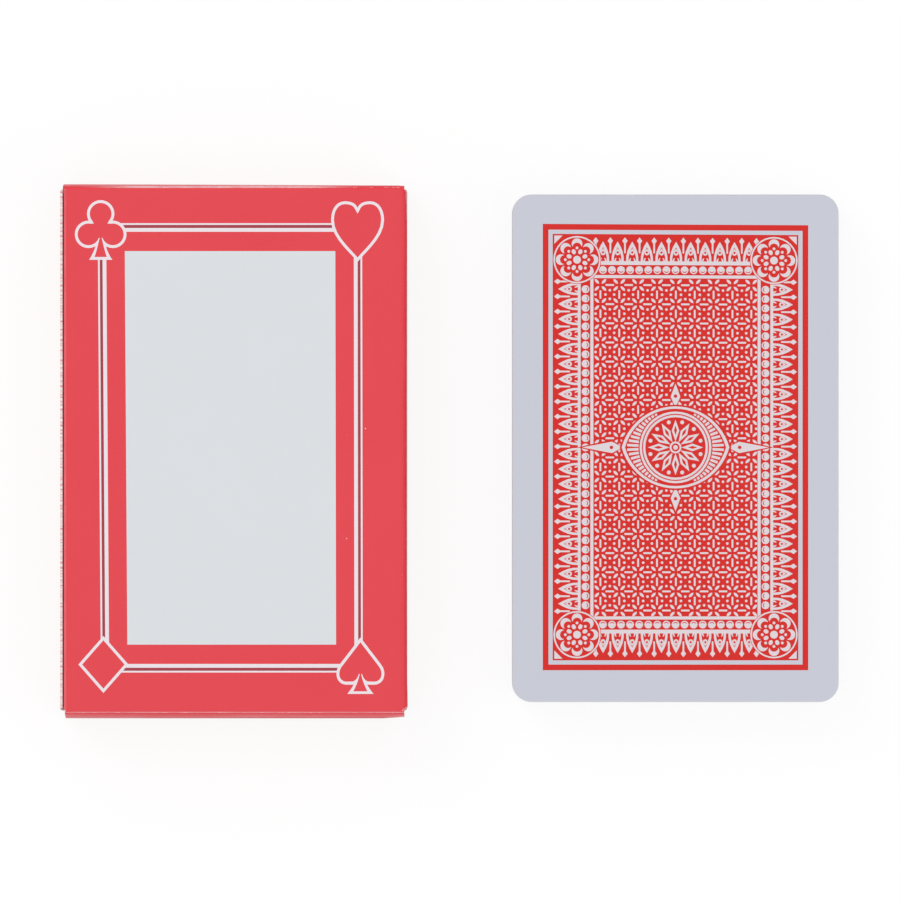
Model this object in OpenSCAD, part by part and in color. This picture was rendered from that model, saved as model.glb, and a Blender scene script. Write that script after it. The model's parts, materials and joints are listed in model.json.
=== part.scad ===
// Bridge-size playing card deck: fifty-two cards squared into a pack, back up,
// and the straight-tuck carton that holds them, closed and lying on its back panel.
// Millimetres, +Z up. The origin is on the table, at the middle of the pair.

/* [Card] */
// Width of a card
card_w = 57.15; // [50:0.05:66]
// Length of a card
card_l = 88.9; // [80:0.1:100]
// Thickness of a card
card_t = 0.28; // [0.2:0.01:0.4]
// Corner radius of a card
card_corner_r = 3.3; // [1.5:0.1:6]

/* [Pack] */
// Air between one card and the next
card_air = 0.03; // [0.02:0.01:0.15]
// How far a card may stray from the squared pack
pack_stray = 0.1; // [0:0.02:0.4]
// Table left clear between the carton and the pack
set_gap = 18.5; // [5:0.1:40]
// How far the pack lies past the carton's middle, towards the carton's top end
pack_shift = 0.3; // [-1:0.1:1]

/* [Carton] */
// Thickness of the carton's board
board_t = 0.4; // [0.3:0.05:0.6]
// Play for the pack across the carton
pack_play_w = 2.55; // [1:0.05:4]
// Play for the pack along the carton, between the dust flaps
pack_play_l = 1.7; // [0.8:0.1:4]
// Play for the pack through the carton's depth, where the tuck flaps also lie
pack_play_d = 2.3; // [1.8:0.1:4]
// Outer radius of the long folds
fold_r = 0.9; // [0.7:0.05:1.5]
// How far the glue flap reaches down inside the left side panel
glue_flap_reach = 12; // [6:0.5:14]
// How far the left side panel's raw edge stops below the front face
seam_drop = 0.3; // [0.1:0.05:0.6]
// How far the glue flap stops short of the side panel's end creases
glue_flap_setback = 1; // [0.5:0.1:3]
// How far the glued seam presses the glue flap into the side panel
seam_press = 0.04; // [0.02:0.01:0.1]
// Radius of the half-moon thumb notch in the back panel
thumb_notch_r = 9; // [5:0.5:12]

/* [Creases] */
// Air left at each crease between a panel's end and the rolled edge that turns on it
crease_gap = 0.05; // [0.03:0.01:0.1]

/* [Lids] */
// How far a lid's side stops inside the carton's outer width
lid_inset = 0.5; // [0.3:0.05:2]
// Air between a closed lid and the dust flaps behind it
lid_gap = 0.15; // [0.1:0.05:0.5]
// Radius of a lid's two free corners
lid_corner_r = 0.8; // [0.3:0.1:2]
// How far the top lid leans out of true, in degrees
top_lid_lean = 1.5; // [0:0.25:4]
// How far the bottom lid leans out of true, in degrees
bottom_lid_lean = 3; // [0:0.25:4]

/* [Tuck flaps] */
// Reach of a tuck flap from its crease
tuck_reach = 13.5; // [8:0.5:20]
// How far a tuck flap's side stops inside the lid's side
tuck_inset = 0.85; // [0.4:0.05:4]
// Corner radius of a tuck flap's free end
tuck_corner_r = 7; // [3:0.5:7.5]
// How far a tuck flap is folded past square, in degrees
tuck_lift = 2; // [0.5:0.25:5]
// Air between a tuck flap's crease and the back panel it passes over
tuck_rest_gap = 0.05; // [0.03:0.01:0.3]

/* [Dust flaps] */
// Reach of a dust flap from its crease
dust_reach = 12; // [6:0.5:14]
// Taper of a dust flap's edge on the lid's hinge side, in degrees
dust_taper_front = 29; // [28:0.5:34]
// Taper of a dust flap's edge on the tuck flap's side, in degrees
dust_taper_back = 15; // [5:0.5:25]
// Room between a dust flap's edge and the front panel's inner face
dust_front_gap = 1; // [0.6:0.1:2]
// Room between a dust flap's edge and the tuck flap below it
dust_tuck_gap = 0.7; // [0.5:0.1:2]
// Radius of a dust flap's two free corners
dust_corner_r = 1.5; // [0.5:0.1:2]

/* [Hidden] */
$fn = 96;
// Names of the cards, from the bottom of the pack to the top
SUITS = ["spades", "diamonds", "clubs", "hearts"];
RANKS = [
  "ace", "two", "three", "four", "five", "six", "seven", "eight", "nine", "ten",
  "jack", "queen", "king"
];
CARDS = [for (suit = SUITS) for (rank = RANKS) str(rank, "_of_", suit)];
CARTON = [
  "carton_sleeve", "top_lid", "top_tuck_flap", "top_left_dust_flap", "top_right_dust_flap",
  "bottom_lid", "bottom_tuck_flap", "bottom_dust_flaps"
];

// Pack
card_count = len(CARDS);
card_pitch = card_t + card_air;
pack_h = card_count * card_pitch - card_air;
// Turn from one card's stray to the next one's, so that no two neighbours stray alike
stray_turn = 137.5;

// Carton, outside
carton_w = card_w + pack_play_w + 3 * board_t;
carton_l = card_l + pack_play_l + 2 * (2 * board_t + lid_gap);
carton_d = pack_h + pack_play_d + 2 * board_t;
roll_r = board_t / 2;
crease_setback = roll_r + crease_gap;
lid_w = carton_w - 2 * lid_inset;
tuck_w = lid_w - 2 * tuck_inset;

// Crease axes, from the middle of the carton's back panel
lid_axis_y = carton_l / 2 - roll_r;
lid_axis_z = carton_d - roll_r;
tuck_axis_z = board_t + tuck_rest_gap + roll_r;
lid_reach = lid_axis_z - tuck_axis_z;
dust_axis_x = carton_w / 2 - roll_r;
dust_axis_y = carton_l / 2 - board_t - lid_gap - roll_r;
dust_bottom_z = tuck_axis_z + roll_r + dust_tuck_gap;
dust_top_z = carton_d - board_t - dust_front_gap;

// Centres of the long folds' rounds across the carton
right_fold_x = carton_w / 2 - fold_r;
back_left_x = -carton_w / 2 + fold_r;
glue_flap_x = -carton_w / 2 + board_t - seam_press;
front_left_x = glue_flap_x + fold_r;

// Ends of the panels that the creases turn on
front_end_y = lid_axis_y - crease_setback;
side_end_y = dust_axis_y - crease_setback;
back_end_y = carton_l / 2;

// Places of the carton and the pack, with the pair centred on the origin
top_lean_out = lid_reach * sin(top_lid_lean);
bottom_lean_out = lid_reach * sin(bottom_lid_lean);
set_w = carton_w + set_gap + card_w;
set_y = (bottom_lean_out - top_lean_out) / 2;
carton_x = (carton_w - set_w) / 2;
pack_x = (set_w - card_w) / 2;
pack_y = set_y + pack_shift;

// Colours
red_board = [0.86, 0.22, 0.26];
inner_red = [0.78, 0.16, 0.2];
card_white = [0.8, 0.81, 0.85];

// Rectangle with four round corners, centred
module round_rect(w, l, r) {
  square([w - 2 * r, l], center = true);
  square([w, l - 2 * r], center = true);
  for (sx = [-1, 1])
    for (sy = [-1, 1])
      translate([sx * (w / 2 - r), sy * (l / 2 - r)]) circle(r);
}

// Tongue of width w that reaches l along -Y, with two round corners at its free end
module tongue(w, l, r) {
  intersection() {
    union() {
      translate([-w / 2, -(l - r)]) square([w, l - r]);
      translate([-w / 2 + r, -l]) square([w - 2 * r, l]);
      for (sx = [-1, 1])
        translate([sx * (w / 2 - r), -(l - r)]) circle(r);
    }
    translate([-w / 2, -l]) square([w, l]);
  }
}

// Sheet of board standing on the XY outline given as children, centred on z = 0
module sheet() {
  translate([0, 0, -roll_r]) linear_extrude(board_t) children();
}

// Rolled edge of a panel along X, on its crease axis
module rolled_edge(w) {
  rotate([0, 90, 0]) cylinder(r = roll_r, h = w, center = true);
}

// Quarter of a long fold's ring, for the corner that points to +X +Y
module fold_quarter() {
  intersection() {
    difference() {
      circle(fold_r);
      circle(fold_r - board_t);
    }
    square(fold_r);
  }
}

// Long fold of the sleeve's cross-section, at the corner in the direction of sx and sz
module long_fold(x, z, sx, sz) {
  translate([x, z]) mirror([sx < 0 ? 1 : 0, 0]) mirror([0, sz < 0 ? 1 : 0]) fold_quarter();
}

// Cross-section of the sleeve's side panels and long folds, seen along Y
module sleeve_section() {
  translate([carton_w / 2 - board_t, fold_r]) square([board_t, carton_d - 2 * fold_r]);
  translate([-carton_w / 2, fold_r]) square([board_t, carton_d - fold_r - seam_drop]);
  long_fold(right_fold_x, carton_d - fold_r, 1, 1);
  long_fold(right_fold_x, fold_r, 1, -1);
  long_fold(back_left_x, fold_r, -1, -1);
  long_fold(front_left_x, carton_d - fold_r, -1, 1);
}

// Extrudes a cross-section in X and Z over a length centred on y = 0
module along_carton(l) {
  translate([0, l / 2, 0]) rotate([90, 0, 0]) linear_extrude(l) children();
}

// Front, back, side panels and glued seam of the carton
module carton_sleeve() {
  color(red_board) translate([carton_x, set_y, 0]) difference() {
    union() {
      along_carton(2 * side_end_y) sleeve_section();
      along_carton(2 * (side_end_y - glue_flap_setback))
        translate([glue_flap_x, carton_d - glue_flap_reach])
          square([board_t, glue_flap_reach - fold_r]);
      translate([front_left_x, -front_end_y, carton_d - board_t])
        cube([right_fold_x - front_left_x, 2 * front_end_y, board_t]);
      translate([back_left_x, -back_end_y, 0])
        cube([right_fold_x - back_left_x, 2 * back_end_y, board_t]);
    }
    translate([0, back_end_y, -board_t]) cylinder(r = thumb_notch_r, h = 3 * board_t);
  }
}

// Lid hanging from its crease, with the crease axis on the X axis, and leaning out along +Y
module lid(lean) {
  rotate([lean, 0, 0]) {
    rolled_edge(lid_w);
    rotate([90, 0, 0]) sheet() tongue(lid_w, lid_reach - crease_setback, lid_corner_r);
  }
}

// Tuck flap reaching along -Y from its crease at the free end of a lid that leans out
module tuck_flap(lean) {
  translate([0, lid_reach * sin(lean), -lid_reach * cos(lean)]) rotate([-tuck_lift, 0, 0]) {
    rolled_edge(tuck_w);
    sheet() tongue(tuck_w, tuck_reach, tuck_corner_r);
  }
}

// Outline of a dust flap in X and Z: a trapezium with round free corners, from its crease on x = 0
module dust_outline() {
  tip_top_z = dust_top_z - dust_reach * tan(dust_taper_front);
  tip_bottom_z = dust_bottom_z + dust_reach * tan(dust_taper_back);
  top_run = dust_corner_r / tan(45 + dust_taper_front / 2);
  bottom_run = dust_corner_r / tan(45 + dust_taper_back / 2);
  polygon([
    [0, dust_bottom_z],
    [dust_reach - bottom_run * cos(dust_taper_back), tip_bottom_z - bottom_run * sin(dust_taper_back)],
    [dust_reach, tip_bottom_z + bottom_run],
    [dust_reach, tip_top_z - top_run],
    [dust_reach - top_run * cos(dust_taper_front), tip_top_z + top_run * sin(dust_taper_front)],
    [0, dust_top_z]
  ]);
  translate([dust_reach - dust_corner_r, tip_top_z - top_run]) circle(dust_corner_r);
  translate([dust_reach - dust_corner_r, tip_bottom_z + bottom_run]) circle(dust_corner_r);
}

// Dust flap reaching along +X from its crease, with the crease axis on the Z axis
module dust_flap() {
  translate([0, 0, dust_bottom_z]) cylinder(r = roll_r, h = dust_top_z - dust_bottom_z);
  rotate([90, 0, 0]) sheet() dust_outline();
}

// Moves a piece drawn about the lid's crease axis to the carton's top end
module at_top_crease() {
  translate([carton_x, set_y + lid_axis_y, lid_axis_z]) children();
}

// Moves a piece drawn about the lid's crease axis to the carton's bottom end
module at_bottom_crease() {
  translate([carton_x, set_y - lid_axis_y, lid_axis_z]) mirror([0, 1, 0]) children();
}

module top_lid() {
  color(red_board) at_top_crease() lid(top_lid_lean);
}

module top_tuck_flap() {
  color(inner_red) at_top_crease() tuck_flap(top_lid_lean);
}

// Dust flap on the left (sx = -1) or right (sx = 1) side panel,
// at the carton's top (sy = 1) or bottom (sy = -1) end
module placed_dust_flap(sx, sy) {
  translate([carton_x + sx * dust_axis_x, set_y + sy * dust_axis_y, 0])
    mirror([sx > 0 ? 1 : 0, 0, 0]) dust_flap();
}

module top_left_dust_flap() {
  color(inner_red) placed_dust_flap(-1, 1);
}

module top_right_dust_flap() {
  color(inner_red) placed_dust_flap(1, 1);
}

module bottom_lid() {
  color(red_board) at_bottom_crease() lid(bottom_lid_lean);
}

module bottom_tuck_flap() {
  color(inner_red) at_bottom_crease() tuck_flap(bottom_lid_lean);
}

module bottom_dust_flaps() {
  color(inner_red) for (sx = [-1, 1]) placed_dust_flap(sx, -1);
}

// Card number i of the pack, counted from the bottom
module playing_card(i) {
  stray = pack_stray * [sin(i * stray_turn), cos(i * stray_turn)];
  color(card_white) translate([pack_x + stray[0], pack_y + stray[1], i * card_pitch])
    linear_extrude(card_t) round_rect(card_w, card_l, card_corner_r);
}

carton_sleeve();
top_lid();
top_tuck_flap();
top_left_dust_flap();
top_right_dust_flap();
bottom_lid();
bottom_tuck_flap();
bottom_dust_flaps();
for (i = [0 : card_count - 1]) {
  playing_card(i);
}
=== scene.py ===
"""Looks of a bridge-size playing card deck: fifty-two printed cards in a squared pack, and their tuck carton.

The carton is made as the real one is: flat blanks of printed board, creased, folded and glued. A print is
pressed into the faces of the board or card that carries it, so every inked patch is a face of its own.
Lengths are in millimetres until a mesh is made, and in metres in Blender.
"""

import json
import logging
import math
from dataclasses import dataclass, field
from enum import Enum, IntEnum, StrEnum
from typing import Callable, Iterable, Sequence

import bpy
import numpy as np
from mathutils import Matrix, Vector
from mathutils.geometry import delaunay_2d_cdt


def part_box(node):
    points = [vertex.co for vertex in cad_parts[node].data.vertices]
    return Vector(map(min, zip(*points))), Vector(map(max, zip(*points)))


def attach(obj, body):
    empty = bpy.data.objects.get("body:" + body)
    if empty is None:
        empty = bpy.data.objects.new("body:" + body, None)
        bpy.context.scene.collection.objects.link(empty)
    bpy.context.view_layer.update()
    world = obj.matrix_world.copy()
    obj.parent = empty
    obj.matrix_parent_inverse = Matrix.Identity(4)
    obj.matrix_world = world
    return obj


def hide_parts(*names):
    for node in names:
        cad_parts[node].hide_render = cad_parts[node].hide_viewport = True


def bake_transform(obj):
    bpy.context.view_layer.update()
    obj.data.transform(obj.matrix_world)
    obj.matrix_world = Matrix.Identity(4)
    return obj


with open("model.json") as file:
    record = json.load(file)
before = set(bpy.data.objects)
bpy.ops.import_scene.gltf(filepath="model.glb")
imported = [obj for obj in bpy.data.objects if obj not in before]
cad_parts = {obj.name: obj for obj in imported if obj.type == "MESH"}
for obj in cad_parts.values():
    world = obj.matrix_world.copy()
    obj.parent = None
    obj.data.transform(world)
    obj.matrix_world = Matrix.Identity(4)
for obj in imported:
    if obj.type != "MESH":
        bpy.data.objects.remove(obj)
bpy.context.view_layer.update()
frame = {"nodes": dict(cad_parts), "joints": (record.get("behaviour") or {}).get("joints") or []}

LOG = logging.getLogger("card_deck")
MM = 0.001  # A millimetre, in metres
BLANK_MAP = "blank"  # Map of a piece of board onto its flat blank
WEAR = "wear"  # How flaked the print is at a point
RUB_AND_LIGHT = "rub"  # How far the print is rubbed off at a point, partly as a painted highlight, or below zero how much painted light and shade turn it a brighter, deeper red
SHARP_EDGE = 40.0  # Angle in degrees from which an edge is shaded as a sharp one
TOUCH = 1e-3  # How near an end a point counts as part of it, in millimetres

Point = tuple[float, float]
Outline = list[Point]
Line = tuple[Point, Point]
Counts = tuple[int, int]
Colour = tuple[float, float, float]
Corner = tuple[float, float, float]
Array = np.ndarray
Wave = Callable[[Array, Array], Array]
Object = bpy.types.Object
Material = bpy.types.Material
Tree = bpy.types.NodeTree
Node = bpy.types.Node
Socket = bpy.types.NodeSocket
Inputs = dict[str, Socket]


class CardSlot(IntEnum):
    """Material slots of a card, in the order of its mesh."""

    STOCK = 0
    RED = 1
    BLACK = 2
    EDGE = 3
    FINE = 4


class BoardSlot(IntEnum):
    """Material slots of a piece of the carton, in the order of its mesh."""

    RED = 0
    DEEP_RED = 1
    BARE = 2
    INSIDE = 3
    RAW_EDGE = 4
    LINE = 5


class End(StrEnum):
    """The carton's ends, by the word that their pieces' names hold."""

    TOP = "top"
    BOTTOM = "bottom"

    @property
    def way(self) -> int:
        """Which way the end lies along Y."""
        return 1 if self is End.TOP else -1


class Side(StrEnum):
    """The carton's long sides, by the word that their pieces' names hold."""

    LEFT = "left"
    RIGHT = "right"

    @property
    def way(self) -> int:
        """Which way the side lies along X."""
        return 1 if self is Side.RIGHT else -1


class Suit(Enum):
    """The four suits, by the word that ends a card's name."""

    SPADES = "spades"
    DIAMONDS = "diamonds"
    CLUBS = "clubs"
    HEARTS = "hearts"

    @property
    def ink(self) -> CardSlot:
        """Ink that the suit is printed in."""
        return CardSlot.RED if self in (Suit.DIAMONDS, Suit.HEARTS) else CardSlot.BLACK


def wire(tree: Tree, socket: Socket, value: object) -> None:
    """Links a socket to its source, or sets it where a plain value is given."""
    if isinstance(value, Socket):
        tree.links.new(value, socket)
    else:
        socket.default_value = value


def add_node(tree: Tree, kind: str, **inputs: object) -> Node:
    """Adds a node to a tree.

    Args:
        tree: The tree.
        kind: Blender's name for the node.
        inputs: Values or sources of its inputs, by name, with _ for a space.

    Returns:
        The node.
    """
    node = tree.nodes.new(kind)
    for name, value in inputs.items():
        wire(tree, node.inputs[name.replace("_", " ")], value)
    return node


def maths(tree: Tree, operation: str, *values: Socket | float) -> Socket:
    """Adds a sum of values to a tree.

    Args:
        tree: The tree.
        operation: What is done, as Blender's Math node calls it.
        values: The values, or the sockets that give them.

    Returns:
        The result's socket.
    """
    node = tree.nodes.new("ShaderNodeMath")
    node.operation = operation
    for socket, value in zip(node.inputs, values, strict=False):
        wire(tree, socket, value)
    return node.outputs[0]


def link(name: str, data: bpy.types.ID) -> Object:
    """Makes an object of a mesh, curve, lamp or camera, and puts it in the scene."""
    made = bpy.data.objects.new(name, data)
    bpy.context.scene.collection.objects.link(made)
    return made


def taken_mesh(holder: Object) -> bpy.types.Mesh:
    """Plain mesh of an object as its modifiers leave it; the object is removed."""
    mesh = bpy.data.meshes.new_from_object(holder.evaluated_get(bpy.context.evaluated_depsgraph_get()))
    bpy.data.objects.remove(holder)
    return mesh


# Outlines


def box_outline(half_w: float, half_h: float, centre: Point = (0.0, 0.0)) -> Outline:
    """Rectangle about a centre, anticlockwise, from half its width and half its height."""
    x, y = centre
    return [(x + a * half_w, y + b * half_h) for a, b in ((-1, -1), (1, -1), (1, 1), (-1, 1))]


def disc(radius: float, steps: int, centre: Point = (0.0, 0.0), stretch: float = 1.0) -> Outline:
    """Round outline of that many points, anticlockwise; its radius along Y is stretched."""
    turns = [math.tau * k / steps for k in range(steps)]
    return [(centre[0] + radius * math.cos(a), centre[1] + radius * stretch * math.sin(a)) for a in turns]


def arc(centre: Point, radius: float, start: float, end: float, steps: int) -> Outline:
    """Points along an arc between two directions in degrees, cut into that many stretches."""
    turns = np.radians(np.linspace(start, end, steps + 1))
    return [(centre[0] + radius * math.cos(a), centre[1] + radius * math.sin(a)) for a in turns]


def bezier(a: Point, b: Point, c: Point, d: Point, steps: int) -> Outline:
    """Points along a cubic curve.

    Args:
        a: Start of the curve.
        b: Handle of the start.
        c: Handle of the end.
        d: End of the curve, which is left out, so that the next curve can begin there.
        steps: How many points are made.

    Returns:
        The points, from a on.
    """
    t = np.linspace(0, 1, steps, endpoint=False)[:, None]
    found = (1 - t) ** 3 * a + 3 * t * (1 - t) ** 2 * b + 3 * t**2 * (1 - t) * c + t**3 * d
    return [(float(x), float(y)) for x, y in found]


def lancet(half_w: float, height: float, steps: int, base: float = 0.0) -> Outline:
    """Pointed arch that stands on its base.

    Args:
        half_w: Half its width at the base.
        height: Height of its point above the base.
        steps: How many stretches each side is cut into.
        base: Y of its base.

    Returns:
        Its points, anticlockwise from the right foot.
    """
    swell = 1.25
    rise = np.linspace(0, 1, steps + 1)
    right = [(half_w * math.cos(math.pi / 2 * h**swell), base + height * h) for h in rise[:-1]]
    return [*right, (0.0, base + height), *[(-x, y) for x, y in reversed(right)]]


def lens(half_w: float, half_h: float, steps: int) -> Outline:
    """Pointed oval of two arcs, whose points lie on the X axis.

    Args:
        half_w: Half its length along X.
        half_h: Half its height.
        steps: How many stretches each arc is cut into.

    Returns:
        Its points, anticlockwise.
    """
    radius = (half_w**2 + half_h**2) / (2 * half_h)
    reach = math.degrees(math.asin(half_w / radius))
    upper = arc((0.0, half_h - radius), radius, 90 - reach, 90 + reach, steps)
    return [*upper[:-1], *[(-x, -y) for x, y in upper[:-1]]]


def leaf(start: Point, end: Point, half_w: float) -> Outline:
    """Slim leaf between two points.

    Args:
        start: Point of the leaf.
        end: Its other point.
        half_w: Half its width.

    Returns:
        Its six points, anticlockwise.
    """
    widest_from, widest_to = 0.3, 0.72
    a, b = np.array(start), np.array(end)
    along = b - a
    side = half_w * np.array((-along[1], along[0])) / np.linalg.norm(along)
    low, high = a + along * widest_from, a + along * widest_to
    points = (a, low - side, high - side, b, high + side, low + side)
    return [(float(x), float(y)) for x, y in points]


def mirrored(half: Outline) -> Outline:
    """Closes an outline's right half with its mirror image about the Y axis."""
    return [*half, *[(-x, y) for x, y in reversed(half) if abs(x) > 1e-9]]


def moved(outline: Outline, shift: Point = (0.0, 0.0), turn: float = 0.0, scale: float = 1.0) -> Outline:
    """Scales an outline, turns it by that many degrees, and then shifts it."""
    c, s = scale * math.cos(math.radians(turn)), scale * math.sin(math.radians(turn))
    return [(shift[0] + c * x - s * y, shift[1] + s * x + c * y) for x, y in outline]


def signed_area(outline: Sequence[Point]) -> float:
    """Area of an outline, below zero where it runs clockwise."""
    p = np.array(outline)
    q = np.roll(p, -1, axis=0)
    return float((p[:, 0] * q[:, 1] - q[:, 0] * p[:, 1]).sum() / 2)


def inset(outline: Outline, width: float) -> Outline:
    """Draws an outline inside another one, with sharp corners.

    Args:
        outline: The outer outline.
        width: How far inside it the new one runs.

    Returns:
        The inner outline, anticlockwise.
    """
    sharpest = 0.35
    p = np.array(outline if signed_area(outline) > 0 else outline[::-1])
    into = p - np.roll(p, 1, axis=0)
    into /= np.linalg.norm(into, axis=1)[:, None]
    out = np.roll(into, -1, axis=0)
    inward = np.stack([-(into + out)[:, 1], (into + out)[:, 0]], 1)
    inward /= np.linalg.norm(inward, axis=1)[:, None]
    half_turn = np.maximum(np.abs(-into[:, 1] * inward[:, 0] + into[:, 0] * inward[:, 1]), sharpest)
    found = p + inward * (width / half_turn)[:, None]
    return [(float(x), float(y)) for x, y in found]


def rounded(corners: Sequence[Corner], steps: int = 8) -> Outline:
    """Outline with round corners.

    Args:
        corners: X, Y and radius of each corner, anticlockwise. A corner of no radius stays sharp.
        steps: How many stretches a round corner is cut into.

    Returns:
        The outline's points.
    """
    found: Outline = []
    for k, (x, y, radius) in enumerate(corners):
        if radius <= 0:
            found.append((x, y))
            continue
        here = np.array((x, y))
        before = np.array(corners[k - 1][:2]) - here
        after = np.array(corners[(k + 1) % len(corners)][:2]) - here
        before, after = before / np.linalg.norm(before), after / np.linalg.norm(after)
        half = math.acos(float(np.clip(before @ after, -1, 1))) / 2
        middle = (before + after) / np.linalg.norm(before + after)
        centre = here + middle * radius / math.sin(half)
        first = here + before * radius / math.tan(half) - centre
        start = math.degrees(math.atan2(first[1], first[0]))
        end = start + 180 - math.degrees(2 * half)
        found.extend(arc((float(centre[0]), float(centre[1])), radius, start, end, steps))
    return found


# Suits


@dataclass(frozen=True)
class SuitShapes:
    """The suits as the carton shows them, about their own middles."""

    steps: int = 7  # How many points a curve of an outline has
    lobe_r: float = 2.41  # Radius of a club's lobes
    club_base: float = -5.24  # Y of the base of a club's foot

    def heart(self) -> list[Outline]:
        """Heart, with its point down."""
        half = [
            *bezier((0.0, -5.6), (1.5, -3.7), (4.65, -1.3), (4.65, 1.75), self.steps),
            *bezier((4.65, 1.75), (4.65, 3.9), (3.5, 5.03), (2.25, 5.03), self.steps),
            *bezier((2.25, 5.03), (1.1, 5.03), (0.35, 4.7), (0.0, 3.9), self.steps),
            (0.0, 3.9),
        ]
        return [mirrored(half)]

    def diamond(self) -> list[Outline]:
        """Diamond, taller than it is wide."""
        return [[(4.39, 0.0), (0.0, 5.0), (-4.39, 0.0), (0.0, -5.0)]]

    def spade(self) -> list[Outline]:
        """Spade's body, with its point up, and its foot."""
        half = [
            (0.0, -3.33),
            *bezier((2.45, -3.33), (3.5, -3.33), (4.2, -2.5), (4.2, -1.45), self.steps),
            *bezier((4.2, -1.45), (4.2, -0.5), (3.8, -0.05), (3.45, 0.45), self.steps),
            (3.45, 0.45),
            (0.0, 4.95),
        ]
        return [mirrored(half), self.foot(2.3, -4.95, 0.62, -1.9)]

    def club(self) -> list[Outline]:
        """Club's three lobes and its foot."""
        return [*self.lobes(self.lobe_r), self.foot(2.05, self.club_base, 0.62, -1.9)]

    def lobes(self, radius: float) -> list[Outline]:
        """Club's three lobes, drawn with that radius."""
        middles = ((0.0, 2.83), (-2.13, -0.77), (2.13, -0.77))
        return [disc(radius, 4 * self.steps, middle) for middle in middles]

    def foot(self, half_w: float, bottom: float, waist: float, top: float) -> Outline:
        """Flared foot of a spade or club.

        Args:
            half_w: Half its width at the base.
            bottom: Y of its base.
            waist: Half its width at the top.
            top: Y of its top.

        Returns:
            Its outline.
        """
        base, neck = (half_w, bottom), (waist, top)
        flare = bezier(base, (half_w * 0.68, bottom + 0.9), (waist + 0.3, top - 1.2), neck, self.steps)
        return mirrored([(0.0, bottom), *flare, neck])

    def hollow(self, suit: Suit, stroke: float) -> list[Outline]:
        """What is left inside the line when a suit is drawn in outline.

        Args:
            suit: The suit.
            stroke: Width of the line.

        Returns:
            Outlines whose union is the inside.
        """
        if suit is Suit.CLUBS:
            core = [(1.5, -1.38), (2.13, -0.77), (2.13, 1.08), (1.2, 1.12), (1.644, 1.982), (0.0, 2.83)]
            foot = self.foot(1.08, self.club_base + stroke, 0.15, -1.3)
            return [*self.lobes(self.lobe_r - stroke), mirrored(core), foot]
        if suit is Suit.SPADES:
            half = [
                (0.0, -1.43),
                *bezier((0.27, -1.43), (0.5, -2.25), (0.95, -2.8), (1.6, -2.8), self.steps),
                *bezier((2.4, -2.8), (3.2, -2.8), (3.7, -2.25), (3.7, -1.45), self.steps),
                *bezier((3.7, -1.45), (3.7, -0.75), (3.4, -0.3), (3.06, 0.12), self.steps),
                (3.06, 0.12),
                (0.0, 4.1),
            ]
            foot = bezier((1.25, stroke - 5.0), (0.85, -3.75), (0.25, -2.43), (0.15, -1.43), self.steps)
            return [mirrored(half), mirrored([(0.0, stroke - 5.0), *foot, (0.15, -1.43)])]
        return [inset(outline, stroke) for outline in self.of(suit)]

    def of(self, suit: Suit) -> list[Outline]:
        """Outlines whose union is the suit."""
        shapes = {Suit.HEARTS: self.heart, Suit.DIAMONDS: self.diamond, Suit.SPADES: self.spade}
        return shapes.get(suit, self.club)()


# Printing


@dataclass
class Pressing:
    """A print pressed into a flat sheet: triangles, each with the slot of its ink."""

    points: Array  # Places of the sheet's points, one row each
    triangles: Array  # Point numbers of each triangle, anticlockwise
    slots: Array  # Material slot of each triangle

    def rim(self) -> Array:
        """Edges along the sheet's cut, as pairs of points with the sheet on their left."""
        t = self.triangles
        edges = np.concatenate([t[:, (0, 1)], t[:, (1, 2)], t[:, (2, 0)]])
        key = edges.min(1).astype(np.int64) * len(self.points) + edges.max(1)
        _, first, count = np.unique(key, return_index=True, return_counts=True)
        return edges[first[count == 1]]


@dataclass
class PrintPlate:
    """Patches of ink, each laid over those before it."""

    bare: int  # Slot of the sheet where nothing is printed
    patches: list[tuple[Outline, int]] = field(default_factory=list)  # Each outline and its slot, in order

    def paint(self, slot: int, *outlines: Outline) -> None:
        """Lays patches of one ink over what is there."""
        self.patches.extend((outline, int(slot)) for outline in outlines)

    def lay(self, other: "PrintPlate", place: Callable[[Outline], Outline]) -> None:
        """Lays another plate's patches over this one, each moved by place."""
        self.patches.extend((place(outline), slot) for outline, slot in other.patches)

    def press(self, cut: Outline, creases: Sequence[Line] = (), spots: Sequence[Point] = ()) -> Pressing:
        """Presses the patches into a sheet.

        Args:
            cut: Outline of the sheet.
            creases: Lines across the sheet that its triangles follow.
            spots: Further points that its triangles meet at.

        Returns:
            The pressed sheet.
        """
        nearest = 1e-5
        points: list[Vector] = []
        loops: list[list[int]] = []
        for outline in [cut, *[patch for patch, _ in self.patches]]:
            first = len(points)
            points.extend(Vector(p) for p in outline)
            order = list(range(first, len(points)))
            loops.append(order if signed_area(outline) > 0 else order[::-1])
        edges = []
        for a, b in creases:
            edges.append((len(points), len(points) + 1))
            points.extend((Vector(a), Vector(b)))
        points.extend(Vector(p) for p in spots)
        flat, _, faces, _, _, origins = delaunay_2d_cdt(points, edges, loops, 0, nearest)
        inks = [self.bare, *[slot for _, slot in self.patches]]
        kept = [(face, inks[max(found)]) for face, found in zip(faces, origins, strict=True) if 0 in found]
        return Pressing(
            np.array([tuple(p) for p in flat]),
            np.array([face for face, _ in kept], np.int64),
            np.array([slot for _, slot in kept], np.int32),
        )


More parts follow.
